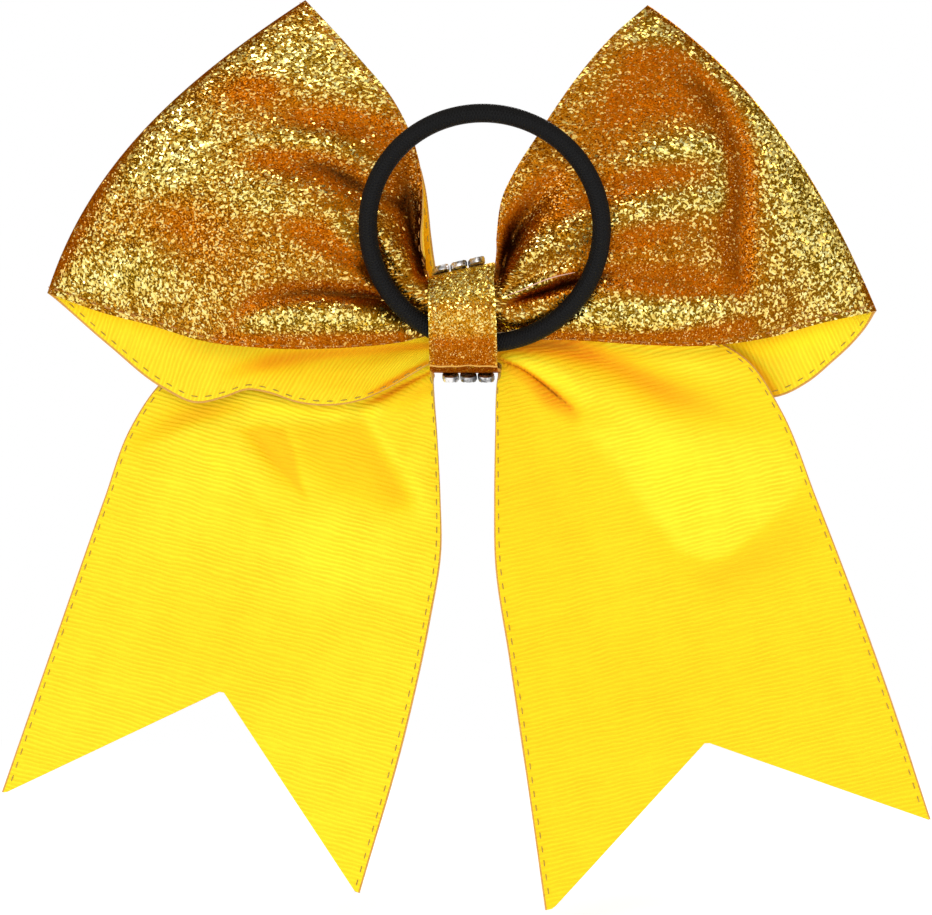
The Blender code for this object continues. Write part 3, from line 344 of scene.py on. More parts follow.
LEFT_TAIL["zones"] = [
    [(-65.6, -24.4, 2.2, -0.2), (-57.2, -20, 2.6, -0.34), (-45.6, -18, 2, -0.34)],
    [(-62.8, -25.6, 1.6, 0.1), (-52.8, -22, 2, 0.2), (-42.8, -18.4, 1.8, 0.4),
     (-26.8, -18.4, 1.8, 0.6), (-18.4, -18, 1.6, 0.6)],
    [(-6.6, -10.4, 0.45, -1.1), (-12, -13, 0.6, -1.1), (-17.6, -16, 0.8, -0.8),
     (-22, -17.6, 1, -0.2)],
    [(-6.6, -13, 1.6, -0.35), (-12, -15.2, 2, -0.35), (-17.6, -17.6, 2, -0.1)],
    [(-19.8, -19.2, 1, 0.2), (-14.8, -27.2, 1.4, 0.25), (-10.4, -33.2, 1.6, 0.3),
     (-7.2, -40, 1.6, 0.1)],
    [(-54.8, -23.2, 2.4, 0.12), (-47.8, -29.4, 2.8, 0.2), (-40.4, -38, 2.4, 0.05)],
    [(-47.2, -28.4, 1.2, -0.1), (-42.8, -36, 1.5, -0.16), (-37, -44, 1.2, -0.03)],
    [(-36.8, -47, 7, 0.08), (-23.8, -46, 8, 0.12), (-10.8, -50, 6, 0.08)],
    [(-68.8, -60, 12, -0.05), (-48.8, -66, 14, -0.1), (-26.8, -64, 12, -0.05)],
]
RIGHT_TAIL["zones"] = [
    [(7.2, -7.8, 0.4, -1.4), (11.2, -9.4, 0.5, -2), (15.2, -12.2, 0.55, -2.1),
     (18.4, -14.8, 0.52, -1.9), (21.6, -17.6, 0.36, -0.7)],
    [(8, -9.2, 0.9, -0.35), (13.2, -12.2, 1.3, -0.5), (17.2, -15.4, 1.9, -0.75),
     (22, -18.8, 1.5, -0.4)],
    [(7, -6, 1.3, -1), (11.2, -5, 1.4, -1.15), (16.2, -4.6, 1.4, -1.1), (22.2, -4.8, 1.2, -0.6)],
    [(29.2, -4.8, 0.9, 0.4), (39.2, -5.2, 1.1, 0.6), (49.2, -5.2, 1, 0.5)],
    [(12.8, -5.2, 1.5, -0.6), (22.2, -6, 2.4, -0.85), (28.4, -8.2, 2.2, -0.5),
     (40.8, -14.4, 3, -0.42), (52.4, -19, 3, -0.1)],
    [(8, -6.8, 0.9, 0.3), (16, -10, 1.3, 0.5), (24.4, -15.2, 1.5, 0.25)],
    [(35.2, -7.2, 2.4, 0.1), (45.2, -9.2, 2.8, 0.25), (55.2, -11.2, 2.4, 0.15)],
    [(50.4, -52.4, 4, -0.1), (59.2, -48.4, 6, -0.14), (70.4, -40, 5, -0.06)],
    [(8, -22, 5, -0.06), (11.2, -36, 8, -0.08), (19.2, -48, 9, -0.04)],
    [(11.2, -64, 12, -0.03), (35.2, -72, 14, -0.06), (67.2, -68, 12, -0.03)],
]
# Soft-edged areas of painted light (+) and painted shade (-): strength, then corners (x, z, softness
# of the side that starts there).
LEFT_TAIL["patches"] = [
    (-0.36, [(-45.6, -22, 1), (-40.4, -20.8, 1), (-36.2, -21.6, 0.7), (-34.4, -26, 0.8),
             (-33, -31.6, 0.8), (-31.6, -36, 1.2), (-35.2, -32.6, 1.6), (-40.4, -27.6, 1.6)]),
    (-0.26, [(-34.4, -21.6, 3), (-26.8, -18.8, 2), (-21.2, -17.2, 1), (-18.4, -21.6, 0.8),
             (-15.2, -26.4, 0.8), (-12, -30.4, 0.8), (-9.2, -34, 1), (-8.8, -37.6, 2.4),
             (-16.8, -38.4, 4), (-26.8, -34.8, 4), (-32.8, -28.4, 3)]),
]
RIGHT_TAIL["patches"] = [
    (0.26, [(25.2, -22.4, 3), (32, -30.8, 2.4), (38.6, -40.4, 1.8), (44, -46.4, 1.1),
            (48.4, -48, 0.8), (52.8, -47.2, 0.9), (58, -43, 1.2), (64, -37.6, 1.6),
            (68.4, -31.2, 4), (64.4, -25.6, 5), (55.2, -24, 5), (45.2, -23.2, 5),
            (35.2, -21.6, 5)]),
]
# The pale cut edge of a pleat by the knot, on the back of the right loop: (x, z).
PLEAT_LINE = [(8.4, 4.6), (11.6, 5.8), (14.8, 7.2), (17.6, 8.2), (22, 9.2)]
# How far the gathers stand out behind the knot, by height.
GATHER_Z = [-9, -6, -3, -1, 1.5, 4.2, 6.5, 8, 9]
GATHER_DEPTH = [2.6, 3.4, 5.0, 7.4, 8.2, 7.1, 4.7, 3.4, 2.8]
# The wrap strip's way round the knot, from its tucked end: (y, z).
WRAP_LINE = [
    (-7.85, -6.95), (-7.55, -7.9), (-6.9, -8.95), (-5.4, -9.8), (-2.0, -10.1), (2.0, -10.1),
    (4.2, -9.4), (5.15, -7.7), (5.35, -4.0), (5.4, 0.0), (5.35, 4.0), (5.15, 7.7), (4.2, 9.15),
    (2.0, 9.6), (-2.0, 9.6), (-4.6, 9.0), (-6.9, 7.0), (-9.0, 4.2), (-10.2, 1.6), (-10.5, 0.2),
    (-10.5, -4.4), (-10.15, -6.0), (-9.2, -7.6), (-7.95, -8.8), (-6.9, -9.72),
]


# --------------------------------------------------------------------------------------- curves
def unit(vectors):
    return vectors / np.maximum(np.linalg.norm(vectors, axis=-1, keepdims=True), 1e-12)


def run_length(points):
    """Running length down the first axis of an array of points."""
    steps = np.linalg.norm(np.diff(points, axis=0), axis=-1)
    return np.concatenate([np.zeros_like(steps[:1]), np.cumsum(steps, axis=0)])


def hermite(knots, values, at):
    """Smooth interpolation of values (n, k) at knots. Straight on beyond the ends."""
    at = np.asarray(at, float)
    gaps = np.diff(knots)
    rates = np.diff(values, axis=0) / gaps[:, None]
    slopes = np.empty_like(values)
    slopes[0], slopes[-1] = rates[0], rates[-1]
    before, after = gaps[:-1, None], gaps[1:, None]
    slopes[1:-1] = (rates[:-1] * after + rates[1:] * before) / (before + after)
    i = np.clip(np.searchsorted(knots, at, side="right") - 1, 0, len(knots) - 2)
    gap = gaps[i][..., None]
    share = ((at - knots[i]) / gaps[i])[..., None]
    t = np.clip(share, 0, 1)
    start, stop = gap * slopes[i], gap * slopes[i + 1]
    result = (
        (2 * t**3 - 3 * t**2 + 1) * values[i]
        + (t**3 - 2 * t**2 + t) * start
        + (3 * t**2 - 2 * t**3) * values[i + 1]
        + (t**3 - t**2) * stop
    )
    return result + np.where(share < 0, share * start, 0) + np.where(share > 1, (share - 1) * stop, 0)


class Curve:
    """A smooth curve through points, read by its share of arc length."""

    def __init__(self, points):
        points = np.array(points, float)
        chord = run_length(points)
        fine = hermite(chord, points, np.linspace(0, chord[-1], 400))
        arc = run_length(fine)
        self.length = arc[-1]
        self.share = np.linspace(0, 1, 161)
        even = self.share * self.length
        self.points = np.stack([np.interp(even, arc, column) for column in fine.T], axis=1)

    def at(self, share):
        return hermite(self.share, self.points, share)


def smooth(start, stop, x):
    t = np.clip((x - start) / (stop - start), 0, 1)
    return t * t * (3 - 2 * t)


def folds(lines, x, z):
    """Sum of soft ridges and grooves; each point takes the nearest stretch of each line."""
    height = np.zeros_like(x)
    for line in lines:
        stations = np.array(line, float)
        chord = run_length(stations[:, :2])
        along = np.linspace(0, chord[-1], max(24, int(chord[-1] / 1.2)))
        path = hermite(chord, stations[:, [0, 1, 3]], along)
        widths = np.interp(along, chord, stations[:, 2])
        total = np.zeros_like(x)
        nearest = np.full_like(x, 1e9)
        for line_x, line_z, line_height, width in zip(*path.T, widths):
            distance2 = (x - line_x) ** 2 + (z - line_z) ** 2
            value = line_height * np.exp(-distance2 / width**2)
            total = np.where(distance2 < nearest, value, total)
            nearest = np.minimum(nearest, distance2)
        height += total
    return height


def patches(areas, x, z):
    """Sum of soft-edged polygons."""
    total = np.zeros(x.shape)
    for strength, outline in areas:
        corners = np.array(outline, float)
        inside = np.zeros(x.shape, bool)
        within, beyond = np.full(x.shape, 9.0), np.full(x.shape, -9.0)
        for (ax, az, soft), (bx, bz, _) in zip(corners, np.roll(corners, -1, axis=0)):
            dx, dz = bx - ax, bz - az
            along = np.clip(((x - ax) * dx + (z - az) * dz) / (dx * dx + dz * dz), 0, 1)
            distance = np.hypot(x - ax - along * dx, z - az - along * dz)
            within = np.minimum(within, smooth(-soft, soft, distance))
            beyond = np.maximum(beyond, smooth(-soft, soft, -distance))
            inside ^= ((az > z) != (bz > z)) & (x < dx * (z - az) / (dz + 1e-12) + ax)
        total += strength * np.where(inside, within, beyond)
    return total


def value_noise(x, z, scale, seed):
    """Smooth, repeatable noise in -1..1."""
    table = np.random.default_rng(seed).uniform(-1, 1, (64, 64))
    grid_x, grid_z = x / scale + 31.7, z / scale + 17.3
    ix, iz = np.floor(grid_x).astype(int), np.floor(grid_z).astype(int)
    fx, fz = grid_x - ix, grid_z - iz
    fx, fz = fx * fx * (3 - 2 * fx), fz * fz * (3 - 2 * fz)

    def row(j):
        return table[ix % 64, j % 64] * (1 - fx) + table[(ix + 1) % 64, j % 64] * fx

    return row(iz) * (1 - fz) + row(iz + 1) * fz


# ----------------------------------------------------------------------- where the hair tie lies
def centre_of(node):
    """Centre of a CAD node's box, in mm from the knot."""
    low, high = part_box(node)
    return (np.array(low) + np.array(high)) / 2 * 1000 - KNOT


joint = next(j for j in frame["joints"] if j["name"] == "hair_tie_swing")
HINGE = np.array(joint["pos_m"]) * 1000 - KNOT
HINGE_AXIS = unit(np.array(joint["axis"], float))
TIE_UP = unit(np.cross(np.cross(HINGE_AXIS, centre_of("hair_tie_cover") - HINGE), HINGE_AXIS))
TIE_AXIS = np.cross(HINGE_AXIS, TIE_UP)
TIE_CENTRE = HINGE + TIE_UP * (TIE_R - 1.15)
TIE_CLEARANCE = 0.72


def swing(p, angle):
    """A vector turned about the hinge axis."""
    return (
        p * math.cos(angle)
        + np.cross(HINGE_AXIS, p) * math.sin(angle)
        + HINGE_AXIS * (HINGE_AXIS @ p) * (1 - math.cos(angle))
    )


def room_under_tie(x, z):
    """How far out of the back the middle of the cloth may come and clear the tie's swing."""
    best = np.full(x.shape, 99.0)
    for degrees in (0.0, -3.3, 130):
        angle = math.radians(degrees)
        centre, axis = HINGE + swing(TIE_CENTRE - HINGE, angle), swing(TIE_AXIS, angle)
        y = centre[1] - ((x - centre[0]) * axis[0] + (z - centre[2]) * axis[2]) / axis[1]
        spread = (x - centre[0]) ** 2 + (y - centre[1]) ** 2 + (z - centre[2]) ** 2
        off = np.sqrt(spread) - TIE_R
        cord = (CORD_R - 0.36 * off**2 / CORD_R) / abs(axis[1])
        best = np.minimum(best, -y - TIE_CLEARANCE - cord)
    # inside the wrap the cord also rolls round its hinge
    along = (x - HINGE[0]) / HINGE_AXIS[0]
    low = z - HINGE[2] - HINGE_AXIS[2] * along
    reach = CORD_R + 1.15 * np.clip(1 - (along / 7.2) ** 2, 0, 1) + TIE_CLEARANCE
    depth = reach * np.sqrt(np.clip(1 - (low / reach) ** 2, 0, 1))
    roll = -(HINGE[1] + HINGE_AXIS[1] * along) - depth
    beyond = 4 * np.clip(np.abs(low) - reach, 0, 9) + 9 * smooth(7.6, 9.6, np.abs(along))
    return np.minimum(best, roll + beyond)


# ------------------------------------------------------------------------------ ribbon surfaces
def across(first, middle, last, v):
    """Quadratic through one edge (v = 0), the middle and the other edge (v = 1)."""
    v = v[..., None]
    return first * (1 - v) * (1 - 2 * v) + middle * 4 * v * (1 - v) + last * v * (2 * v - 1)


def loop_half(spec, side, F, V):
    """The back or front of a loop; F runs from knot to fold, V from lower to upper edge.

    Returns points and crease heights."""
    low, mid, top = (Curve(spec[side][key]) for key in ("low", "mid", "top"))
    xz = across(low.at(F), mid.at(F), top.at(F), V)
    bend = (2 * V - 1) * V * (1 - V) * smooth(0.45, 1.0, F)
    x, z = np.moveaxis(xz + np.array(spec["bow"]) * bend[..., None], -1, 0)
    from_fold = (1 - F) * (low.length * (1 - V) + top.length * V)
    inner_v = np.clip(V, 0, 1)
    arch = 4 * inner_v * (1 - inner_v)
    # a crisp rounded fold, then a body that swells and closes again at the knot
    tip = 2.3 + 0.9 * arch
    radius = 1.05 + 0.5 * arch
    fold = tip * np.sqrt(1 - np.exp(-2 * radius * from_fold / tip**2))
    if side == "back":
        swell = 5.4 * np.sin(math.pi * F**0.9) * (0.65 + 0.35 * np.sin(math.pi * inner_v))
        # the gathers fill the wrap, behind the cord of the tie
        at_knot = np.interp(z, GATHER_Z, GATHER_DEPTH)
        sign, gain, seed = -1, 1.0, 3
    else:
        bulge = spec["bulge"]
        lower = bulge["lower"]
        swell = bulge["depth"] * np.sin(math.pi * F ** bulge["power"]) * (lower + (1 - lower) * V)
        at_knot = bulge["at_knot"]
        sign, gain, seed = 1, 1.2, 4
    open_up = smooth(0.02, 0.22, F)
    y = at_knot * (1 - open_up) + (fold + swell) * open_up
    fade = smooth(0, 5.0, from_fold) * smooth(5.5, 9.5, np.abs(x))
    near_knot = 1 - smooth(12, 34, np.hypot(x, z))
    crease = folds(spec[side + "_folds"], x, z) * fade * gain * (0.62 + 0.38 * near_knot)
    y = y + crease + 0.10 * value_noise(x, z, 5.0, seed) * fade
    if side == "back":  # the cord beds into the cloth: a soft minimum
        room = room_under_tie(x, z)
        y = 0.5 * (y + room - np.sqrt((y - room) ** 2 + 0.35))
    return np.stack([x, sign * y, z], axis=-1), crease


def loop_surface(spec, over):
    """Rows from the knot over the back, round the fold, and back to the knot over the front.

    Returns points, distance from the fold, place across the ribbon, (glitter, grosgrain) tones, which
    hold painted light and shade."""
    v = np.linspace(-over, 1 + over, COLUMNS)
    f = 1 - (1 - np.linspace(0, 1, LOOP_ROWS)) ** 2
    F, V = np.meshgrid(f, v, indexing="ij")
    back, back_crease = loop_half(spec, "back", F, V)
    front, front_crease = loop_half(spec, "front", F, V)
    # painted light and shade: tone follows the crease height, the glitter lighter where it stands out
    # and the lining darker, plus the listed zones
    back_glitter = 0.44 + 0.11 * back_crease + folds(spec["glitter_zones"], back[..., 0], back[..., 2])
    front_lining = 0.97 - 0.12 * front_crease
    front_lining += folds(spec["grosgrain_zones"], front[..., 0], front[..., 2])

    def meet(back_part, front_part):
        return np.concatenate([back_part, front_part[::-1][1:]], axis=0)

    points = meet(back, front)
    tones = (
        meet(back_glitter, 0.44 + 0.11 * front_crease),
        meet(0.97 - 0.12 * back_crease, front_lining),
    )
    along = run_length(points)
    along -= along[LOOP_ROWS - 1].copy()
    return points, along, np.broadcast_to(v * RIBBON_W, along.shape), tones


def tail_ends(spec, curves, shares):
    """Share of its length at which each column meets the straight cut from notch to tip."""
    ends = np.ones(len(shares))
    trial = np.linspace(0.5, 1.0, 900)
    lines = [curve.at(trial) for curve in curves]
    notch = np.array(spec["notch"])
    for column, share in enumerate(shares):
        if min(share, 1 - share) < 1e-6:
            continue
        cut = np.array(spec["outer_tip" if share > 0.5 else "inner_tip"]) - notch
        line = across(*lines, np.full(trial.shape, share))
        side = (line[:, 0] - notch[0]) * cut[1] - (line[:, 2] - notch[1]) * cut[0]
        k = int(np.argmax(side * np.sign(side[0]) <= 0))
        if k:
            before, after = abs(side[k - 1]), abs(side[k])
            step = trial[k] - trial[k - 1]
            ends[column] = trial[k - 1] + step * before / max(before + after, 1e-9)
    return ends


def tail_surface(spec, over):
    """Rows from the knot to the cut end. Returns the same things as loop_surface, with the
    distance along measured up from the line of the tips."""
    v = np.linspace(-over, 1 + over, COLUMNS)
    curves = [Curve(spec[key]) for key in ("inner", "mid", "outer")]
    ends = tail_ends(spec, curves, np.clip(v, 0, 1))
    rows = np.linspace(0, 1, TAIL_ROWS) ** 1.45  # closer rows where the folds are
    U = rows[:, None] * ends[None, :]
    points = across(*(curve.at(U) for curve in curves), np.broadcast_to(v, U.shape))
    x, z = points[..., 0], points[..., 2]
    fade = smooth(5.5, 9.5, np.abs(x) + np.maximum(0, -z - 9) * 3)
    crease = folds(spec["folds"], x, z) * fade
    # painted light and shade: tone follows the crease height, plus the listed zones and patches
    lining = spec["tone"] + 0.12 * crease + folds(spec["zones"], x, z)
    tones = (0.55 - 0.20 * crease, lining + patches(spec["patches"], x, z))
    # the cloth is calm across the bend line
    calm = np.exp(-(((z - (BEND_START + BEND_END) / 2) / 3.0) ** 2))
    points[..., 1] -= crease + 0.12 * value_noise(x, z, 7.0, 9) * fade * (1 - calm)
    # ribs run across the ribbon, so they lie along the tips' line
    tip_x, tip_z = spec["inner_tip"]
    dx, dz = unit(np.array(spec["outer_tip"]) - (tip_x, tip_z))
    along = ((z - tip_z) * dx - (x - tip_x) * dz) * np.sign(dx)
    return points, along, np.broadcast_to(v * RIBBON_W, along.shape), tones


# -------------------------------------------------------------------------------- mesh building
def grid_normals(points):
    return unit(np.cross(np.gradient(points, axis=0), np.gradient(points, axis=1)))


def new_mesh(name, points, faces, looks, uv=None, face_look=None, sharp=None, tone=None, cloth=None):
    """One object from points in mm. sharp is the edge angle in degrees that stays hard."""
    mesh = bpy.data.meshes.new(name)
    mesh.from_pydata(((np.asarray(points) + KNOT) * MM).tolist(), [], faces)
    for look in looks:
        mesh.materials.append(look)
    if face_look is not None:
        mesh.polygons.foreach_set("material_index", np.asarray(face_look, np.int32))
    if uv is not None:
        layer = mesh.uv_layers.new(name="ribbon")
        corners = np.empty(len(mesh.loops), np.int32)
        mesh.loops.foreach_get("vertex_index", corners)
        layer.data.foreach_set("uv", np.asarray(uv, np.float32)[corners].ravel())
    if tone is not None:
        data = mesh.attributes.new("tone", "FLOAT", "POINT").data
        data.foreach_set("value", np.asarray(tone, np.float32))
    if cloth is not None:
        data = mesh.attributes.new("cloth", "FLOAT_VECTOR", "POINT").data
        data.foreach_set("vector", np.asarray(cloth, np.float32).ravel())
    mesh.shade_smooth()
    if sharp is not None:
        mesh.set_sharp_from_angle(angle=math.radians(sharp))
    mesh.validate()
    obj = bpy.data.objects.new(name, mesh)
    bpy.context.scene.collection.objects.link(obj)
    return obj


def sheet(name, points, along, place_across, near, far, looks, sign, tone, hem=False):
    """A closed sheet between two offsets of a grid. looks: (face, rim)."""
    normals = grid_normals(points) * sign
    rows, columns = points.shape[:2]
    count = rows * columns
    layers = [(points + normals * offset).reshape(-1, 3) for offset in (near, far)]
    uv = np.column_stack([along.ravel(), place_across.ravel()])
    i, j = (a.ravel() for a in np.meshgrid(np.arange(rows - 1), np.arange(columns - 1), indexing="ij"))
    p = i * columns + j
    inner = np.column_stack([p, p + 1, p + columns + 1, p + columns])
    outer = np.column_stack([p, p + columns, p + columns + 1, p + 1]) + count
    down, over = np.arange(rows - 1) * columns, np.arange(columns - 1)
    rim = np.concatenate([
        np.column_stack([q, q + step, q + step + count, q + count])[:, ::turn]
        for q, step, turn in (
            (down, columns, 1),
            (down + columns - 1, columns, -1),
            (over, 1, -1),
            (over + (rows - 1) * columns, 1, 1),
        )
    ])
    faces = np.concatenate([inner, outer, rim])[:, ::sign]
    hem_row = (i == rows - 2) & hem  # a pale cut edge along the strip's end
    kind = np.concatenate([np.full(len(inner), int(near > 0)), hem_row, np.ones(len(rim))])
    # true distance across the sheet, so that flakes keep their size where the cloth is gathered
    wide = run_length(points.swapaxes(0, 1)).T
    wide = wide - wide[:, columns // 2][:, None]
    cloth = np.stack([along, wide, 0 * wide], axis=-1).reshape(-1, 3)
    return new_mesh(
        name, np.concatenate(layers), faces.tolist(), looks,
        uv=np.concatenate([uv, uv]),
        face_look=kind,
        sharp=50,
        tone=np.tile(tone.ravel(), 2),
        cloth=np.concatenate([cloth, cloth]),
    )


def tube(path, radius, sides, side_hint, closed=False):
    """Points and faces of a round tube; radius is one number or one per path point."""
    count = len(path)
    if closed:
        tangent = unit(np.roll(path, -1, axis=0) - np.roll(path, 1, axis=0))
    else:
        tangent = unit(np.gradient(path, axis=0))
    side = unit(np.cross(tangent, side_hint))
    other = np.cross(tangent, side)
    angle = np.linspace(0, 2 * math.pi, sides, endpoint=False)
    radius = np.reshape(radius, (-1, 1))
    points = (
        path[:, None]
        + side[:, None] * (radius * np.cos(angle))[..., None]
        + other[:, None] * (radius * np.sin(angle))[..., None]
    )
    faces = []
    for i in range(count if closed else count - 1):
        here, there = i * sides, (i + 1) % count * sides
        for k in range(sides):
            k2 = (k + 1) % sides
            faces.append([here + k, there + k, there + k2, here + k2])
    if not closed:
        faces.append(list(range(sides)))
        faces.append([(count - 1) * sides + k for k in range(sides - 1, -1, -1)])
    return points.reshape(-1, 3), faces


def skin(rings, sides, base=0):
    """Quads between rings of points that follow one another from index base."""
    faces = []
    for here in range(base, base + (rings - 1) * sides, sides):
        for k in range(sides):
            k2 = (k + 1) % sides
            faces.append([here + k, here + k2, here + sides + k2, here + sides + k])
    return faces


def combine(parts):
    """One list of points and one of faces from several (points, faces)."""
    points, faces = [], []
    for part_points, part_faces in parts:
        faces += [[k + len(points) for k in face] for face in part_faces]
        points += list(part_points)
    return points, faces


def join(*objects):
    """The first object, with the others joined in."""
    first = objects[0]
    with bpy.context.temp_override(
        active_object=first, selected_editable_objects=list(objects), object=first
    ):
        bpy.ops.object.join()
    return first


def ride_knot(obj):
    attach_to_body(obj, "knot")


def hand_over(obj, slot, *nodes, attach=ride_knot):
    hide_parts(*nodes)
    attach(obj)


# ------------------------------------------------------------------------------------ materials
class Look:
    """A short way to write a material's node tree."""

    def __init__(self, name):
        self.material = bpy.data.materials.new(name)
        self.material.use_nodes = True
        self.tree = self.material.node_tree

    def put(self, socket, value):
        if isinstance(value, bpy.types.NodeSocket):
            self.tree.links.new(value, socket)
        else:
            socket.default_value = value

    def add(self, kind, inputs=None, **settings):
        node = self.tree.nodes.new(kind)
        for key, value in settings.items():
            setattr(node, key, value)
        for key, value in (inputs or {}).items():
            self.put(node.inputs[key], value)
        return node

    def math(self, operation, a, b=0.0, c=0.0, clamp=False):
        inputs = {0: a, 1: b, 2: c}
        return self.add("ShaderNodeMath", inputs, operation=operation, use_clamp=clamp).outputs[0]

    def linear(self, value, slope, offset, clamp=False):
        return self.math("MULTIPLY_ADD", value, slope, offset, clamp)

    def above(self, value, floor):
        """How far value is above floor, in 0..1."""
        return self.math("SUBTRACT", value, floor, clamp=True)

    def vector(self, operation, a, b=(0, 0, 0), scale=None):
        node = self.add("ShaderNodeVectorMath", {0: a, 1: b}, operation=operation)
        if scale is not None:
            self.put(node.inputs["Scale"], scale)
        return node.outputs["Value" if operation == "LENGTH" else "Vector"]

    def mix(self, factor, a, b, blend="MIX"):
        inputs = {"Factor": factor, "A": a, "B": b}
        node = self.add("ShaderNodeMix", data_type="RGBA", blend_type=blend)
        for key, value in inputs.items():
            self.put(node.inputs[key], value)
        return node.outputs["Result"]

    def ramp(self, factor, stops):
        """stops: (place, red, green, blue)."""
        node = self.add("ShaderNodeValToRGB", {"Fac": factor})
        elements = node.color_ramp.elements
        while len(elements) < len(stops):
            elements.new(0.5)
        for element, (place, *colour) in zip(elements, stops):
            element.position = place
            element.color = (*colour, 1)
        return node.outputs["Color"]

    def noise(self, where, scale, detail=2.0, dimensions="3D"):
        inputs = {"Vector": where, "Scale": scale, "Detail": detail}
        return self.add("ShaderNodeTexNoise", inputs, noise_dimensions=dimensions).outputs

    def streaks(self, uv, along, across, detail):
        """Noise with its own frequency along and across the ribbon."""
        return self.noise(self.vector("MULTIPLY", uv, (along, across, 0)), 1.0, detail)["Fac"]

    def cells(self, where, scale):
        inputs = {"Vector": where, "Scale": scale, "Randomness": 1.0}
        return self.add("ShaderNodeTexVoronoi", inputs, voronoi_dimensions="2D").outputs["Color"]

    def bump(self, strength, distance, height):
        inputs = {"Strength": strength, "Distance": distance, "Height": height}
        return self.add("ShaderNodeBump", inputs).outputs["Normal"]

    def uv(self):
        return self.add("ShaderNodeUVMap", uv_map="ribbon").outputs["UV"]

    def attribute(self, name, output):
        return self.add("ShaderNodeAttribute", attribute_name=name).outputs[output]

    def place(self):
        return self.add("ShaderNodeTexCoord").outputs["Object"]

    def finish(self, **inputs):
        shader = self.tree.nodes["Principled BSDF"]
        for key, value in inputs.items():
            self.put(shader.inputs[key.replace("_", " ")], value)
        return self.material


def rgb(*levels):
    """sRGB 0-255 to a linear colour."""
    linear = [c / 255 / 12.92 if c <= 10.3 else ((c / 255 + 0.055) / 1.055) ** 2.4 for c in levels]
    return (*linear, 1.0)


# ramp stops (place, red, green, blue) of the glitter fabric
FLAKES = [(0.0, 0.66, 0.42, 0.07), (0.3, 0.88, 0.66, 0.15), (0.65, 0.98, 0.82, 0.25),
          (1.0, 1.0, 0.94, 0.42)]
# painted light and shade: the dust between flakes where the tone paints light, and where it paints
# shade (copper)
LIT_ZONE_DUST = [(0.0, 0.070, 0.032, 0.0004), (0.35, 0.145, 0.074, 0.001),
               (0.75, 0.30, 0.165, 0.006), (1.0, 0.70, 0.48, 0.08)]
SHADED_ZONE_DUST = [(0.0, 0.22, 0.042, 0.0002), (0.45, 0.36, 0.082, 0.0006), (0.86, 0.50, 0.15, 0.004),
             (0.95, 0.72, 0.34, 0.05), (1.0, 1.0, 0.72, 0.3)]
# the yellow dye at the top stop; the lower stops are painted shade, orange and darker
GROSGRAIN_DYE_AND_SHADE = [(0.0, 0.84, 0.24, 0.001), (0.35, 0.93, 0.44, 0.003), (0.7, 0.95, 0.69, 0.008),
                 (1.0, 0.96, 0.86, 0.026)]


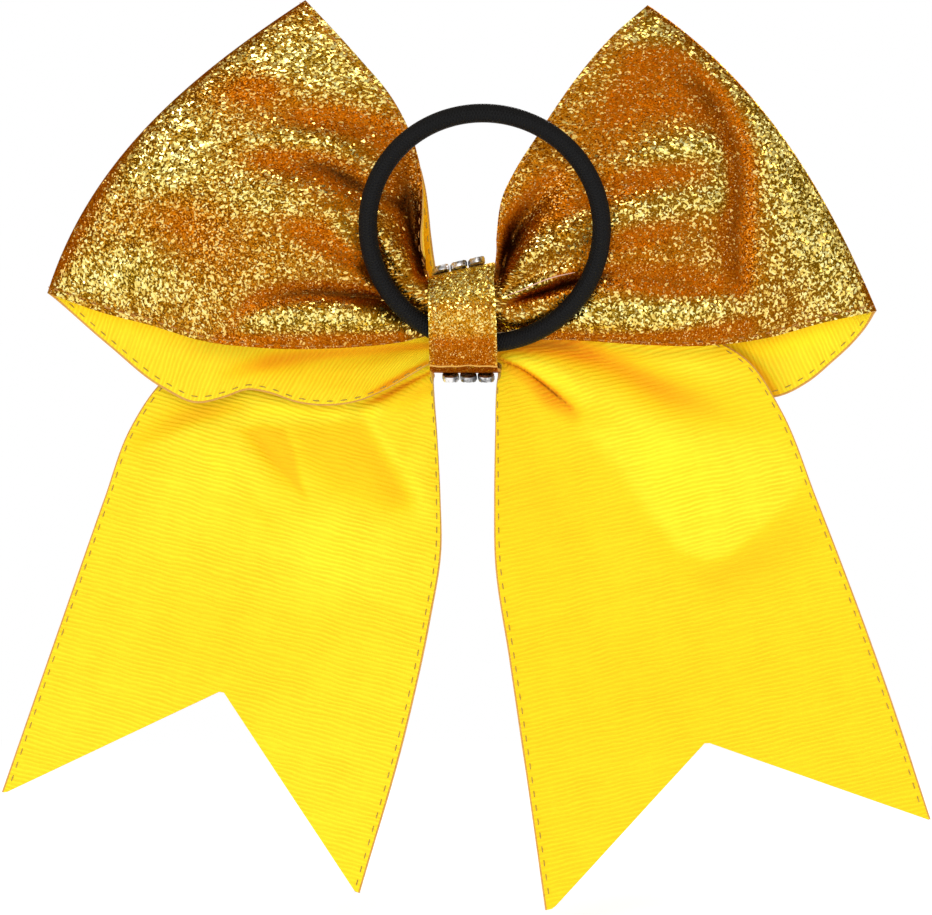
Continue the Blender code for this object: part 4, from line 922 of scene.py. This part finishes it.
def glitter_look(name, width=RIBBON_W, size=0.88, dust_gain=1.0):
    """Pale flakes over a fine amber grain; the tone paints light and shade: deep zones are copper,
    bright ones full of pale flakes.
    """
    look = Look(name)
    hem_uv = look.uv()
    cloth = look.attribute("cloth", "Vector")
    raw = look.attribute("tone", "Fac")
    tone = look.math("ADD", raw, 0.0, clamp=True)
    painted_deep_shade = look.linear(raw, slope=-0.85, offset=-0.22, clamp=True)  # painted deep shade, where tone is far below 0
    normal = look.add("ShaderNodeNewGeometry").outputs["Normal"]
    # flakes with ragged outlines, and finer dust between them
    jitter = look.noise(cloth, scale=1.1 / size, detail=1.0, dimensions="2D")["Color"]
    ragged = look.vector("ADD", cloth, look.vector("SCALE", jitter, scale=0.9 * size))
    flakes = look.cells(ragged, scale=2.3 / size)
    dust = look.cells(cloth, scale=4.2 / size)
    pick = look.add("ShaderNodeSeparateColor", {"Color": flakes}).outputs
    dust_pick = look.add("ShaderNodeSeparateColor", {"Color": dust}).outputs["Red"]
    # painted light: the share of cells that hold a flake follows the tone, in loose clumps
    clump = look.noise(cloth, scale=0.24 / size, detail=4.0, dimensions="2D")["Fac"]
    clump_gain = look.linear(tone, slope=0.9, offset=0.35)
    loose = look.math("MULTIPLY", look.math("SUBTRACT", clump, 0.5), clump_gain)
    share = look.math("ADD", look.linear(tone, slope=0.48, offset=0.02), loose)
    is_flake = look.math("LESS_THAN", pick["Blue"], share)
    # every cell is tilted its own way
    centred = [look.vector("SUBTRACT", cells, (0.5, 0.5, 0.5)) for cells in (flakes, dust)]
    flake_tilt = look.vector("SCALE", centred[0], scale=0.80)
    dust_tilt = look.vector("SCALE", centred[1], scale=0.72)
    tilt = look.mix(is_flake, dust_tilt, flake_tilt)
    tilted = look.vector("NORMALIZE", look.vector("ADD", normal, tilt))
    flake_colour = look.ramp(pick["Red"], FLAKES)
    # lit and shaded copies of the dust, mixed by the painted tone
    lit_zone_dust = look.ramp(dust_pick, LIT_ZONE_DUST)
    lit_zone_dust = look.mix(1.0, lit_zone_dust, (dust_gain, dust_gain, dust_gain, 1), "MULTIPLY")
    shaded_zone_dust = look.ramp(dust_pick, SHADED_ZONE_DUST)
    dust_colour = look.mix(look.math("POWER", tone, 0.8), shaded_zone_dust, lit_zone_dust)
    # painted highlight: flakes turn paler where the tone is high
    paleness = look.math("MULTIPLY", tone, 1.6, clamp=True)
    flake_colour = look.mix(paleness, (0.86, 0.54, 0.14, 1), flake_colour)
    colour = look.mix(is_flake, dust_colour, flake_colour)
    # the pressed groove of the hem, 1.05 mm from the edge and 0.3 mm to each side, painted darker
    # brown as shade in the groove
    across_ribbon = look.add("ShaderNodeSeparateXYZ", {"Vector": hem_uv}).outputs["Y"]
    from_first = look.math("ABSOLUTE", across_ribbon)
    from_last = look.math("ABSOLUTE", look.math("SUBTRACT", across_ribbon, width))
    from_edge = look.math("MINIMUM", from_first, from_last)
    off_groove = look.math("ABSOLUTE", look.math("SUBTRACT", from_edge, 1.05))
    groove = look.math("SUBTRACT", 1.0, look.math("DIVIDE", off_groove, 0.30), clamp=True)
    colour = look.mix(look.math("MULTIPLY", groove, 0.62), colour, (0.34, 0.11, 0.004, 1))
    # painted deep shade: near-black in the deepest folds
    colour = look.mix(look.math("MULTIPLY", painted_deep_shade, 0.85), colour, (0.035, 0.010, 0.002, 1))
    return look.finish(
        Base_Color=colour,
        Metallic=1.0,
        Roughness=look.linear(is_flake, slope=-0.18, offset=0.42),
        Specular_Tint=look.mix(0.6, colour, (0.9, 0.62, 0.2, 1)),
        Normal=tilted,
    )


def grosgrain_look(name, rib_pitch=0.88, thread_pitch=0.42):
    """Fine cross ribs of a woven ribbon; painted shade turns the yellow warmer and darker where the
    tone is low.
    """
    look = Look(name)
    uv = look.uv()
    raw = look.attribute("tone", "Fac")
    tone = look.math("ADD", raw, 0.0, clamp=True)
    painted_glow = look.linear(look.above(raw, 1.0), slope=0.55, offset=0.08)  # painted glow: orange emission that lifts the shaded lining, stronger where tone is above 1
    place = look.add("ShaderNodeSeparateXYZ", {"Vector": uv}).outputs
    # ribs that wander a little along the ribbon
    wobble = look.math("MULTIPLY", look.streaks(uv, 0.22, 0.11, detail=3.0), 1.5)
    along = look.math("ADD", place["X"], wobble)
    rib = look.math("SINE", look.math("MULTIPLY", along, 2 * math.pi / rib_pitch))
    rib = look.linear(rib, slope=0.5, offset=0.5)
    weave = look.streaks(uv, 2.2, 9.0, detail=3.0)
    thread = look.math("SINE", look.math("MULTIPLY", place["Y"], 2 * math.pi / thread_pitch))
    slub = look.streaks(uv, 1.1, 0.05, detail=1.0)
    # painted shade: the yellow dye at tone 1, turning orange and darker as the tone falls
    colour = look.ramp(tone, GROSGRAIN_DYE_AND_SHADE)
    # painted shade between the ribs in patches, paler weave, warmer slubs, and painted deep shade
    patchy = look.streaks(uv, 0.10, 0.14, detail=3.0)
    between = look.math("SUBTRACT", 1.0, rib)
    patchy = look.linear(patchy, slope=0.9, offset=0.02, clamp=True)
    colour = look.mix(look.math("MULTIPLY", between, patchy), colour, (0.86, 0.46, 0.002, 1))
    pale = look.math("MULTIPLY", look.above(weave, 0.35), 0.30)
    colour = look.mix(pale, colour, (0.96, 0.84, 0.03, 1))
    warm = look.math("MULTIPLY", look.above(slub, 0.45), 0.7)
    colour = look.mix(warm, colour, (0.88, 0.52, 0.004, 1))
    painted_deep_shade = look.linear(raw, slope=-0.9, offset=-0.2, clamp=True)
    colour = look.mix(look.math("MULTIPLY", painted_deep_shade, 0.85), colour, (0.26, 0.045, 0.001, 1))
    # relief: ribs, weave, and threads on top of the ribs
    rib_height = look.math("MULTIPLY", rib, 0.7)
    height = look.math("ADD", rib_height, look.math("MULTIPLY", weave, 0.35))
    thread_height = look.math("MULTIPLY", look.math("MULTIPLY", thread, rib), 0.12)
    height = look.math("ADD", height, thread_height)
    return look.finish(
        Base_Color=colour,
        Roughness=0.62,
        Normal=look.bump(strength=0.85, distance=0.0002, height=height),
        Specular_IOR_Level=0.14,
        # painted glow: the lining glows orange to lift its shade
        Emission_Color=(1.0, 0.52, 0.0, 1),
        Emission_Strength=painted_glow,
    )


def thread_look(name, dark, light):
    """Twisted thread, banded and patchy in equal parts: the bands are painted shade in the grooves of
    the twist.
    """
    look = Look(name)
    where = look.place()
    twist = look.add(
        "ShaderNodeTexWave",
        {"Vector": where, "Scale": 900.0, "Distortion": 1.5, "Detail": 1.0},
        wave_type="BANDS",
        bands_direction="DIAGONAL",
    ).outputs["Fac"]
    patch = look.noise(where, scale=260.0)["Fac"]
    half_twist = look.math("MULTIPLY", twist, 0.5)
    factor = look.math("ADD", half_twist, look.math("MULTIPLY", patch, 0.5))
    return look.finish(
        Base_Color=look.mix(factor, dark, light),
        Roughness=0.6,
        Normal=look.bump(strength=0.6, distance=0.00005, height=twist),
    )


def mottled_look(name, dark, light, scale=1400.0, roughness=0.7):
    """Two colours mixed by noise; the default scale is that of a frayed cut edge."""
    look = Look(name)
    colour = look.mix(look.noise(look.place(), scale, detail=3.0)["Fac"], dark, light)
    return look.finish(Base_Color=colour, Roughness=roughness)


def elastic_look(name, braid_pitch=0.62, strands=9.0):
    """A black braid: two crossing sets of strands with some fuzz."""
    look = Look(name)
    uv = look.uv()
    place = look.add("ShaderNodeSeparateXYZ", {"Vector": uv}).outputs
    spirals = []
    for operation in ("ADD", "SUBTRACT"):
        along = look.math("MULTIPLY", place["X"], 2 * math.pi / braid_pitch)
        around = look.math("MULTIPLY", place["Y"], strands)
        spirals.append(look.math("SINE", look.math(operation, along, around)))
    braid = look.math("MAXIMUM", *spirals)
    fuzz = look.streaks(uv, 3.0, 2.2, detail=4.0)
    height = look.math("ADD", look.math("MULTIPLY", braid, 0.5), fuzz)
    normal = look.bump(strength=0.8, distance=0.00016, height=height)
    # painted shade: the braid is a little darker between its raised strands
    raised = look.linear(braid, slope=0.5, offset=0.5)
    return look.finish(
        Base_Color=look.mix(raised, rgb(2, 2, 3), rgb(8, 8, 9)),
        Roughness=0.55,
        Specular_IOR_Level=0.16,
        Normal=normal,
    )


def silver_look(name, colour=(0.86, 0.86, 0.88), worn=0.22):
    """Silver with patches at a share (worn) of its brightness."""
    look = Look(name)
    wear = look.noise(look.place(), scale=700.0, detail=3.0)["Fac"]
    limits = {"Value": wear, "From Min": 0.42, "From Max": 0.6}
    patch = look.add("ShaderNodeMapRange", limits).outputs["Result"]
    dark = (*(c * worn for c in colour), 1)
    return look.finish(
        Base_Color=look.mix(patch, dark, (*colour, 1)),
        Metallic=1.0,
        Roughness=look.linear(wear, slope=0.2, offset=0.28),
    )


def crystal_look(name):
    """Clear stone with painted shade, greyer where it turns away, and small painted bluish glints."""
    look = Look(name)
    where = look.place()
    facing = look.add("ShaderNodeLayerWeight", {"Blend": 0.35}).outputs["Facing"]
    glint = look.add("ShaderNodeTexVoronoi", {"Vector": where, "Scale": 1500.0})
    # painted shade where the stone turns from the view, and painted glints
    grey = look.mix(facing, rgb(252, 253, 255), rgb(150, 156, 164))
    amount = look.math("MULTIPLY", glint.outputs["Distance"], 0.5, clamp=True)
    return look.finish(
        Base_Color=look.mix(amount, grey, rgb(214, 222, 232)),
        Metallic=0.55,
        Roughness=0.05,
        Coat_Weight=1.0,
        Coat_Roughness=0.02,
    )


GLITTER = glitter_look("gold_glitter_fabric")
GLITTER_WRAP = glitter_look("gold_glitter_wrap", width=13.6, size=0.64, dust_gain=2.2)
GROSGRAIN = grosgrain_look("yellow_grosgrain")
SEAM = thread_look("olive_seam_thread", rgb(150, 116, 26), rgb(208, 170, 62))
SEAM_GOLD = thread_look("amber_seam_thread", rgb(150, 88, 24), rgb(214, 150, 70))
BINDING = thread_look("yellow_binding_thread", rgb(210, 170, 40), rgb(248, 220, 110))
RAW_GLITTER = mottled_look("glitter_fabric_cut_edge", rgb(196, 138, 44), rgb(228, 180, 92))
RAW_PLEAT = mottled_look("pleat_cut_edge", rgb(214, 150, 110), rgb(246, 208, 186))
RAW_YELLOW = mottled_look("grosgrain_selvedge", rgb(236, 186, 20), rgb(252, 220, 70))
ELASTIC = elastic_look("black_braided_elastic")
LATEX = mottled_look("latex_core", rgb(190, 170, 130), rgb(206, 188, 150), scale=300.0)
SILVER = silver_look("silver_cup")
CRYSTAL = crystal_look("clear_crystal")
GLUE = mottled_look(
    "hot_glue", rgb(232, 228, 208), rgb(246, 243, 232), scale=300.0, roughness=0.35
)


# -------------------------------------------------------------------------------- ribbon pieces
STITCH_PITCH, STITCH = 2.8, 1.4
STITCH_SHARES = np.array([0.0, 0.12, 0.35, 0.65, 0.88, 1.0])
STITCH_RISE = np.array([-0.10, 0.06, 0.13, 0.13, 0.06, -0.10])
STITCH_FATNESS = np.array([0.45, 0.85, 1.0, 1.0, 0.85, 0.45])
STITCH_SIDES = 6


def stitches(name, points, normals, look, radius=0.12, start=1.0):
    """Separate thread stitches along a line on the cloth; each sinks in at both ends."""
    arc = run_length(points)
    angle = np.linspace(0, 2 * math.pi, STITCH_SIDES, endpoint=False)
    fat = (radius * STITCH_FATNESS)[:, None]
    rings = len(STITCH_SHARES)
    faces = skin(rings, STITCH_SIDES)
    faces.append(list(range(STITCH_SIDES - 1, -1, -1)))
    faces.append([(rings - 1) * STITCH_SIDES + k for k in range(STITCH_SIDES)])
    parts = []
    at = start
    while at + STITCH < arc[-1] - 0.6:
        along = at + STITCH * STITCH_SHARES
        path, out = (
            np.stack([np.interp(along, arc, column) for column in line.T], axis=1)
            for line in (points, normals)
        )
        out = unit(out)
        path = path + out * STITCH_RISE[:, None]
        tangent = unit(np.gradient(path, axis=0))
        side = unit(np.cross(tangent, out))
        other = np.cross(side, tangent)
        ring = (
            path[:, None]
            + side[:, None] * (fat * np.cos(angle))[..., None]
            + other[:, None] * (fat * np.sin(angle))[..., None]
        )
        parts.append((ring.reshape(-1, 3), faces))
        at += STITCH_PITCH
    return new_mesh(name, *combine(parts), (look,))


def seam(name, points, sign, v):
    """Stitches on both faces of a ribbon, at share v of its width."""
    place = v * (COLUMNS - 1)
    column = int(place)
    t = place - column
    normals = grid_normals(points) * sign
    line = points[:, column] * (1 - t) + points[:, column + 1] * t
    out = unit(normals[:, column] * (1 - t) + normals[:, column + 1] * t)
    on_grosgrain = line - out * (GAP / 2 + GROSGRAIN_THICK)
    on_glitter = line + out * (GAP / 2 + GLITTER_THICK)
    inner = stitches(name, on_grosgrain, -out, SEAM)
    outer = stitches(name + "_out", on_glitter, out, SEAM_GOLD, start=2.4, radius=0.11)
    return join(inner, outer)


def add_pleat_edge(cloth, points, sign):
    """Joins the thin cut edge of a pleat to the back of the right loop."""
    normals = grid_normals(points) * sign
    back = points[:LOOP_ROWS]
    count = 26
    path = []
    for x, z in Curve(PLEAT_LINE).at(np.linspace(0, 1, count)):
        distance2 = (back[..., 0] - x) ** 2 + (back[..., 2] - z) ** 2
        nearest = np.unravel_index(np.argmin(distance2), distance2.shape)
        near_x, near_y, near_z = back[nearest]
        normal = normals[nearest]
        slope = (normal[0] * (x - near_x) + normal[2] * (z - near_z)) / min(normal[1], -0.35)
        path.append((x, near_y - slope - 0.52, z))
    path = np.array(path)
    for _ in range(4):
        path[1:-1, 1] = (path[:-2, 1] + 2 * path[1:-1, 1] + path[2:, 1]) / 4
    radius = 0.13 * np.sin(np.linspace(0.25, math.pi - 0.25, count)) ** 0.5
    edge_points, faces = tube(path, radius, 8, side_hint=(0, 1, 0))
    total = len(edge_points)
    edge = new_mesh(
        "right_loop_pleat_edge", edge_points, faces, (GLITTER, RAW_PLEAT),
        uv=np.zeros((total, 2)),
        face_look=[1] * len(faces),
        tone=np.full(total, 0.5),
        cloth=np.zeros((total, 3)),
    )
    cloth.data.materials.append(RAW_PLEAT)
    return join(cloth, edge)


def ribbon(side, part, surface, spec, glitter_out, seam_names, stands_for, attach):
    """The two layers and two seams of a loop or tail.

    glitter_out is the y sign of the glitter side near the knot; stands_for lists the CAD
    name stems that each layer replaces."""
    stem = f"{side}_{part}"
    points, along, width, tones = surface(spec, OVERHANG)
    normal = grid_normals(points)[points.shape[0] // 4, COLUMNS // 2]
    sign = 1 if normal[1] * glitter_out > 0 else -1
    near, far = GAP / 2, GAP / 2 + GLITTER_THICK
    looks = (GLITTER, RAW_GLITTER)
    name = f"{stem}_glitter_fabric"
    fabric = sheet(name, points, along, width, near, far, looks, sign, tones[0])
    if stem == "right_loop":
        fabric = add_pleat_edge(fabric, points, sign)
    nodes = [f"{side}_{each}_glitter" for each in stands_for]
    hand_over(fabric, "glitter_fabric", *nodes, attach=attach)

    points, along, width, tones = surface(spec, 0.0)
    near, far = -GAP / 2 - GROSGRAIN_THICK, -GAP / 2
    looks = (GROSGRAIN, RAW_YELLOW)
    name = f"{stem}_grosgrain_ribbon"
    lining = sheet(name, points, along, width, near, far, looks, sign, tones[1])
    nodes = [f"{side}_{each}_grosgrain" for each in stands_for]
    hand_over(lining, "grosgrain", *nodes, attach=attach)
    for label, v in zip(seam_names, (SEAM_INSET, 1 - SEAM_INSET)):
        thread = seam(f"{stem}_{label}_stitches", points, sign, v)
        hand_over(thread, "seam_thread", f"{stem}_seam_{label}", attach=attach)


def build_tail(side, spec):
    def bend(obj):
        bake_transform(obj)

    parts = ("tail", "tail_root")
    ribbon(side, "tail", tail_surface, spec, 1, ("inner", "outer"), parts, bend)


for side, spec in (("left", LEFT_LOOP), ("right", RIGHT_LOOP)):
    ribbon(side, "loop", loop_surface, spec, -1, ("lower", "upper"), ("loop",), ride_knot)
for side, spec in (("left", LEFT_TAIL), ("right", RIGHT_TAIL)):
    build_tail(side, spec)


# ------------------------------------------------------------------------------------- the wrap
def askew(points):
    """The strip and its stones sit a little crooked on the knot."""
    points = np.array(points, float)
    front = smooth(-6, 2, points[..., 1])
    x, z = points[..., 0].copy(), points[..., 2].copy()
    points[..., 0] += -0.080 * z * front - 0.2 * smooth(2, 9, z)
    points[..., 2] += 0.22 * x * smooth(2, 9, z)
    return points


def build_wrap(rows=150, columns=27, end_share=0.988, half_width=6.72):
    curve = Curve(WRAP_LINE)
    share = np.linspace(0, end_share, rows)
    y, z = curve.at(share).T
    direction = unit(curve.at(share + 0.002) - curve.at(share - 0.002))
    out = np.column_stack([direction[:, 1], -direction[:, 0]])
    c = np.linspace(-1, 1, columns)
    back = 1 - smooth(-8.0, -3.0, y)
    lean = -0.028 * z * back  # the strip runs a little askew across the back
    narrow = 1 - 0.035 * smooth(2, 9, z) * back
    x = c[None, :] * half_width * narrow[:, None] + lean[:, None] - 0.35 * back[:, None]
    y, z = (np.broadcast_to(each[:, None], x.shape) for each in (y, z))
    dish = 0.10 * (1 - c[None, :] ** 2) + 0.05 * value_noise(x, z, 2.6, 12)
    points = np.stack([x, y, z], axis=-1)
    points[..., 1:] += out[:, None] * dish[..., None]
    along = np.broadcast_to((share * curve.length)[:, None], x.shape)
    width = np.broadcast_to((c + 1) * 6.9, x.shape)
    middle = rows // 2
    sign = 1 if grid_normals(points)[middle, columns // 2, 1:] @ out[middle] > 0 else -1
    # painted light and shade on the wrap: a lighter band at mid height, darker where it curves under
    # at the bottom, lighter towards the top, darker on the tucked-under end, lighter at the edges
    tone = 0.27 + 0.20 * np.exp(-(((z + 0.2) / 1.9) ** 2)) - 0.42 * (1 - smooth(-5.4, -2.4, z))
    tone = tone + 0.42 * smooth(1.8, 4.6, z) + 0.16 * (1 - smooth(-6.5, -3.5, z))
    tone = tone - 0.9 * (share < 0.2)[:, None]  # the end that is tucked under
    tone = tone + 0.30 * smooth(0.86, 1.0, np.abs(c))
    ragged = 0.13 * np.sin(4.2 * c + 0.8) + 0.07 * np.sin(11 * c)
    for row, part in ((-1, 1.0), (-2, 0.7), (-3, 0.35)):
        points[row, :, 2] += ragged * part
    looks = (GLITTER_WRAP, RAW_GLITTER)
    name = "centre_wrap_fabric"
    wrap = sheet(name, askew(points), along, width, -0.36, 0.30, looks, sign, tone, hem=True)
    hand_over(wrap, "glitter_fabric", "centre_wrap")


build_wrap()

# --------------------------------------------------------------------------- crystal cup chains
# Local axes of a cup and stone: across the chain, along it, out of the wrap.
CUP_SIDES = 28
# (radius, height), between the middle of the cup's underside and of its floor
CUP_BOTTOM, CUP_FLOOR = -0.98, -0.80
CUP_PROFILE = [
    (CUP_R * 0.80, CUP_BOTTOM), (CUP_R * 0.97, -0.80), (CUP_R, -0.5), (CUP_R, 0.14),
    (CUP_R - 0.06, 0.22), (CUP_R - 0.20, 0.20), (CUP_R - 0.24, -0.1), (CUP_R - 0.3, -0.55),
    (0.4, CUP_FLOOR),
]
# a claw from its root to its tip: (radius, height, half width)
CLAW = [
    (CUP_R - 0.05, -0.45, 0.34), (CUP_R + 0.02, 0.0, 0.34), (CUP_R - 0.04, 0.22, 0.30),
    (CUP_R - 0.26, 0.34, 0.24), (CUP_R - 0.50, 0.38, 0.14),
]
CLAW_SECTION = ((-1, -0.07), (1, -0.07), (1, 0.08), (-1, 0.08))  # (side, radial offset)
# table, star, girdle and its lower edge: (radius, height, share of a step turned)
STONE_RINGS = [
    (STONE_R * 0.56, 0.44, 0.0), (STONE_R * 0.84, 0.28, 0.5), (STONE_R, 0.0, 0.0),
    (STONE_R, -0.08, 0.0),
]


def circle(radius, height, sides, phase=0.0):
    angles = [2 * math.pi * (k + phase) / sides for k in range(sides)]
    return [(radius * math.cos(a), radius * math.sin(a), height) for a in angles]


def cup():
    points = [(0, 0, CUP_BOTTOM)]
    for radius, height in CUP_PROFILE:
        points += circle(radius, height, CUP_SIDES)
    end = len(points)
    points.append((0, 0, CUP_FLOOR))
    ring = [(k, (k + 1) % CUP_SIDES) for k in range(CUP_SIDES)]
    faces = [[0, 1 + k2, 1 + k] for k, k2 in ring]
    faces += skin(len(CUP_PROFILE), CUP_SIDES, base=1)
    last = end - CUP_SIDES
    faces += [[last + k, last + k2, end] for k, k2 in ring]
    return points, faces


def claw(angle):
    """A claw bent over the stone."""
    cos, sin = math.cos(angle), math.sin(angle)
    points = []
    for radius, height, width in CLAW:
        for side, offset in CLAW_SECTION:
            r, w = radius + offset, width * side
            points.append((cos * r - sin * w, sin * r + cos * w, height + max(0, offset) * 0.6))
    tip = len(points) - 4
    return points, skin(len(CLAW), 4) + [[0, 3, 2, 1], [tip, tip + 1, tip + 2, tip + 3]]


def brilliant(sides=8):
    """A faceted stone: table, crown and girdle over a short pavilion."""
    points = []
    for radius, height, phase in STONE_RINGS:
        points += circle(radius, height, sides, phase)
    point = len(points)
    points.append((0, 0, -0.62))
    table, star, girdle, under = (range(k * sides, (k + 1) * sides) for k in range(4))
    faces = [list(table)]
    for k in range(sides):
        k2 = (k + 1) % sides
        faces += [
            [table[k], star[k], table[k2]],
            [table[k2], star[k], girdle[k2]],
            [star[k], girdle[k], girdle[k2]],
            [table[k], girdle[k], star[k]],
            [girdle[k], under[k], under[k2], girdle[k2]],
            [under[k], point, under[k2]],
        ]
    return points, faces


SETTING = combine([cup()] + [claw(math.pi / 4 + k * math.pi / 2) for k in range(4)])
STONE = brilliant()


def build_chain(label):
    nodes = [f"crystal_{label}_{row}" for row in range(1, CHAIN_ROWS + 1)]
    centres = np.array([centre_of(node) for node in nodes])
    along = unit(np.gradient(centres, axis=0))
    out = np.cross((1.0, 0.0, 0.0), along)
    out *= np.where((out * centres).sum(axis=1) < 0, -1, 1)[:, None]

    def seated(shape):
        local = np.array(shape[0]) - (0, 0, STONE_SINK)
        return [
            (centre + local @ np.array([np.cross(t, o), t, o]), shape[1])
            for centre, t, o in zip(centres, along, out)
        ]

    links = []  # the wires between cups
    for k in range(CHAIN_ROWS - 1):
        start = centres[k] + along[k] * (CUP_R - 0.1) - out[k] * 0.45
        stop = centres[k + 1] - along[k + 1] * (CUP_R - 0.1) - out[k + 1] * 0.45
        middle = (start + stop) / 2 + (out[k] + out[k + 1]) * 0.03
        links.append(tube(np.array([start, middle, stop]), 0.26, 10, side_hint=(1, 0, 0)))
    points, faces = combine(seated(SETTING) + links)
    chain = new_mesh(f"cup_chain_{label}_silver", askew(points), faces, (SILVER,), sharp=35)
    hand_over(chain, "cup_metal", f"cup_chain_{label}")
    points, faces = combine(seated(STONE))
    stones = new_mesh(f"crystals_{label}", askew(points), faces, (CRYSTAL,))
    stones.data.shade_flat()
    hand_over(stones, "crystal", *nodes)


for label in ("left", "middle", "right"):
    build_chain(label)


# ------------------------------------------------------------------------------------- hair tie
def close_uv_seams(mesh):
    """Carries the uv on past a full turn, so the braid runs on round the cord and the ring."""
    layer = mesh.uv_layers["ribbon"].data
    # (axis, spread that marks a seam face, limit below which a corner moves on, full turn)
    turns = ((0, 50, 50, 2 * math.pi * TIE_R), (1, 3.5, 1.5, 2 * math.pi))
    for polygon in mesh.polygons:
        for axis, spread, limit, turn in turns:
            values = [layer[i].uv[axis] for i in polygon.loop_indices]
            if max(values) - min(values) > spread:
                for i in polygon.loop_indices:
                    if layer[i].uv[axis] < limit:
                        layer[i].uv[axis] += turn


def build_hair_tie(steps=220, sides=26):
    theta = np.linspace(0, 2 * math.pi, steps, endpoint=False)
    wobble = 1 + 0.004 * np.sin(2 * theta + 0.6) + 0.003 * np.sin(3 * theta + 1.1)
    spokes = HINGE_AXIS * np.sin(theta)[:, None] - TIE_UP * np.cos(theta)[:, None]
    path = TIE_CENTRE + TIE_R * wobble[:, None] * spokes
    points, faces = tube(path, CORD_R, sides, side_hint=TIE_AXIS, closed=True)
    around = np.linspace(0, 2 * math.pi, sides, endpoint=False)
    uv = np.stack(np.meshgrid(theta * TIE_R, around, indexing="ij"), axis=-1).reshape(-1, 2)
    tie = new_mesh("hair_tie_braid", points, faces, (ELASTIC,), uv)
    close_uv_seams(tie.data)
    hand_over(
        tie, "elastic_cover", "hair_tie_cover", attach=lambda obj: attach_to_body(obj, "hair_tie")
    )


build_hair_tie()


# -------------------------------------------------------------------- CAD nodes that stay shown
def dress(node, look):
    mesh = frame["nodes"][node].data
    if look in (GROSGRAIN, ELASTIC) and "ribbon" not in mesh.uv_layers:
        layer = mesh.uv_layers.new(name="ribbon")
        for corner in mesh.loops:
            co = mesh.vertices[corner.vertex_index].co
            layer.data[corner.index].uv = (co.x * 1000, co.z * 1000)
    if look is GROSGRAIN and "tone" not in mesh.attributes:
        data = mesh.attributes.new("tone", "FLOAT", "POINT").data
        data.foreach_set("value", np.full(len(mesh.vertices), 0.4, np.float32))
    mesh.materials.clear()
    mesh.materials.append(look)


for node, look in (
    ("binding_thread", BINDING),
    ("wrap_glue", GLUE),
    ("pinch_back_layer", GROSGRAIN),
    ("pinch_middle_layer", GROSGRAIN),
    ("pinch_front_layer", GROSGRAIN),
    ("hair_tie_core", LATEX),
    ("hair_tie_join", ELASTIC),
):
    dress(node, look)


# ------------------------------------------------------------------------- studio, all in metres
def floor_look(name):
    """Pale under the bow, turning to plain glowing white further off."""
    look = Look(name)
    where = look.add("ShaderNodeNewGeometry").outputs["Position"]
    limits = {"Value": look.vector("LENGTH", where), "From Min": 0.22, "From Max": 0.7}
    away = look.add("ShaderNodeMapRange", limits, interpolation_type="SMOOTHSTEP")
    away = away.outputs["Result"]
    return look.finish(
        Base_Color=look.mix(away, (0.84, 0.88, 0.94, 1), (0, 0, 0, 1)),
        Roughness=0.95,
        Specular_IOR_Level=0.0,
        Emission_Color=(1, 1, 1, 1),
        Emission_Strength=look.linear(away, slope=0.58, offset=0.42),
    )


def build_floor(drop=0.003):
    bpy.ops.mesh.primitive_circle_add(
        vertices=128, radius=4.0, fill_type="NGON", location=(0, 0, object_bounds()[0][2] - drop)
    )
    floor = bpy.context.object
    floor.name = "studio_floor"
    floor.data.materials.append(floor_look("pale_floor"))


def build_world():
    """White to the camera, dimmer and warmer as light."""
    world = bpy.data.worlds.new("studio")
    bpy.context.scene.world = world
    world.use_nodes = True
    tree = world.node_tree
    is_camera = tree.nodes.new("ShaderNodeLightPath").outputs["Is Camera Ray"]
    for data_type, socket, as_light, to_camera in (
        ("FLOAT", "Strength", 0.44, 1.0),
        ("RGBA", "Color", (1.0, 0.90, 0.80, 1), (1, 1, 1, 1)),
    ):
        mixer = tree.nodes.new("ShaderNodeMix")
        mixer.data_type = data_type
        tree.links.new(is_camera, mixer.inputs["Factor"])
        mixer.inputs["A"].default_value = as_light
        mixer.inputs["B"].default_value = to_camera
        tree.links.new(mixer.outputs["Result"], tree.nodes["Background"].inputs[socket])


LIGHT_TARGET = Vector((0, 0.01, -0.01))
# name, place, size, watts
LIGHTS = (
    ("key_back", (-0.16, -1.16, 0.26), (0.6, 0.5), 5.7),
    ("fill_low", (0.22, -1.0, -0.42), (0.7, 0.4), 2.7),
    ("top_back", (0.0, -0.62, 1.0), (0.7, 0.5), 2.2),
    ("key_front", (0.3, 1.2, 0.5), (0.8, 0.6), 8),
    ("side_right", (1.2, -0.2, 0.4), (0.5, 0.6), 1.6),
    ("side_left", (-1.2, 0.1, 0.4), (0.5, 0.6), 1.6),
)


def add_light(name, place, size, watts):
    light = bpy.data.lights.new(name, "AREA")
    light.shape = "RECTANGLE"
    light.size, light.size_y = size
    light.energy = watts
    obj = bpy.data.objects.new(name, light)
    bpy.context.scene.collection.objects.link(obj)
    obj.location = place
    obj.rotation_euler = (LIGHT_TARGET - Vector(place)).to_track_quat("-Z", "Y").to_euler()


def add_camera(view_width=0.1864):
    """Looks at the back; view_width is what it sees across the plane of the knot."""
    data = bpy.data.cameras.new("camera")
    camera = bpy.data.objects.new("camera", data)
    bpy.context.scene.collection.objects.link(camera)
    data.sensor_width = 36.0
    data.lens = 200.0
    distance = view_width * data.lens / data.sensor_width
    camera.location = (0.0004, KNOT[1] * MM - distance, -0.0275)
    camera.rotation_euler = (math.radians(90), 0, 0)
    data.clip_start = 0.05
    bpy.context.scene.camera = camera


build_floor()
build_world()
for light in LIGHTS:
    add_light(*light)
add_camera()
bpy.context.scene.view_settings.view_transform = "Standard"

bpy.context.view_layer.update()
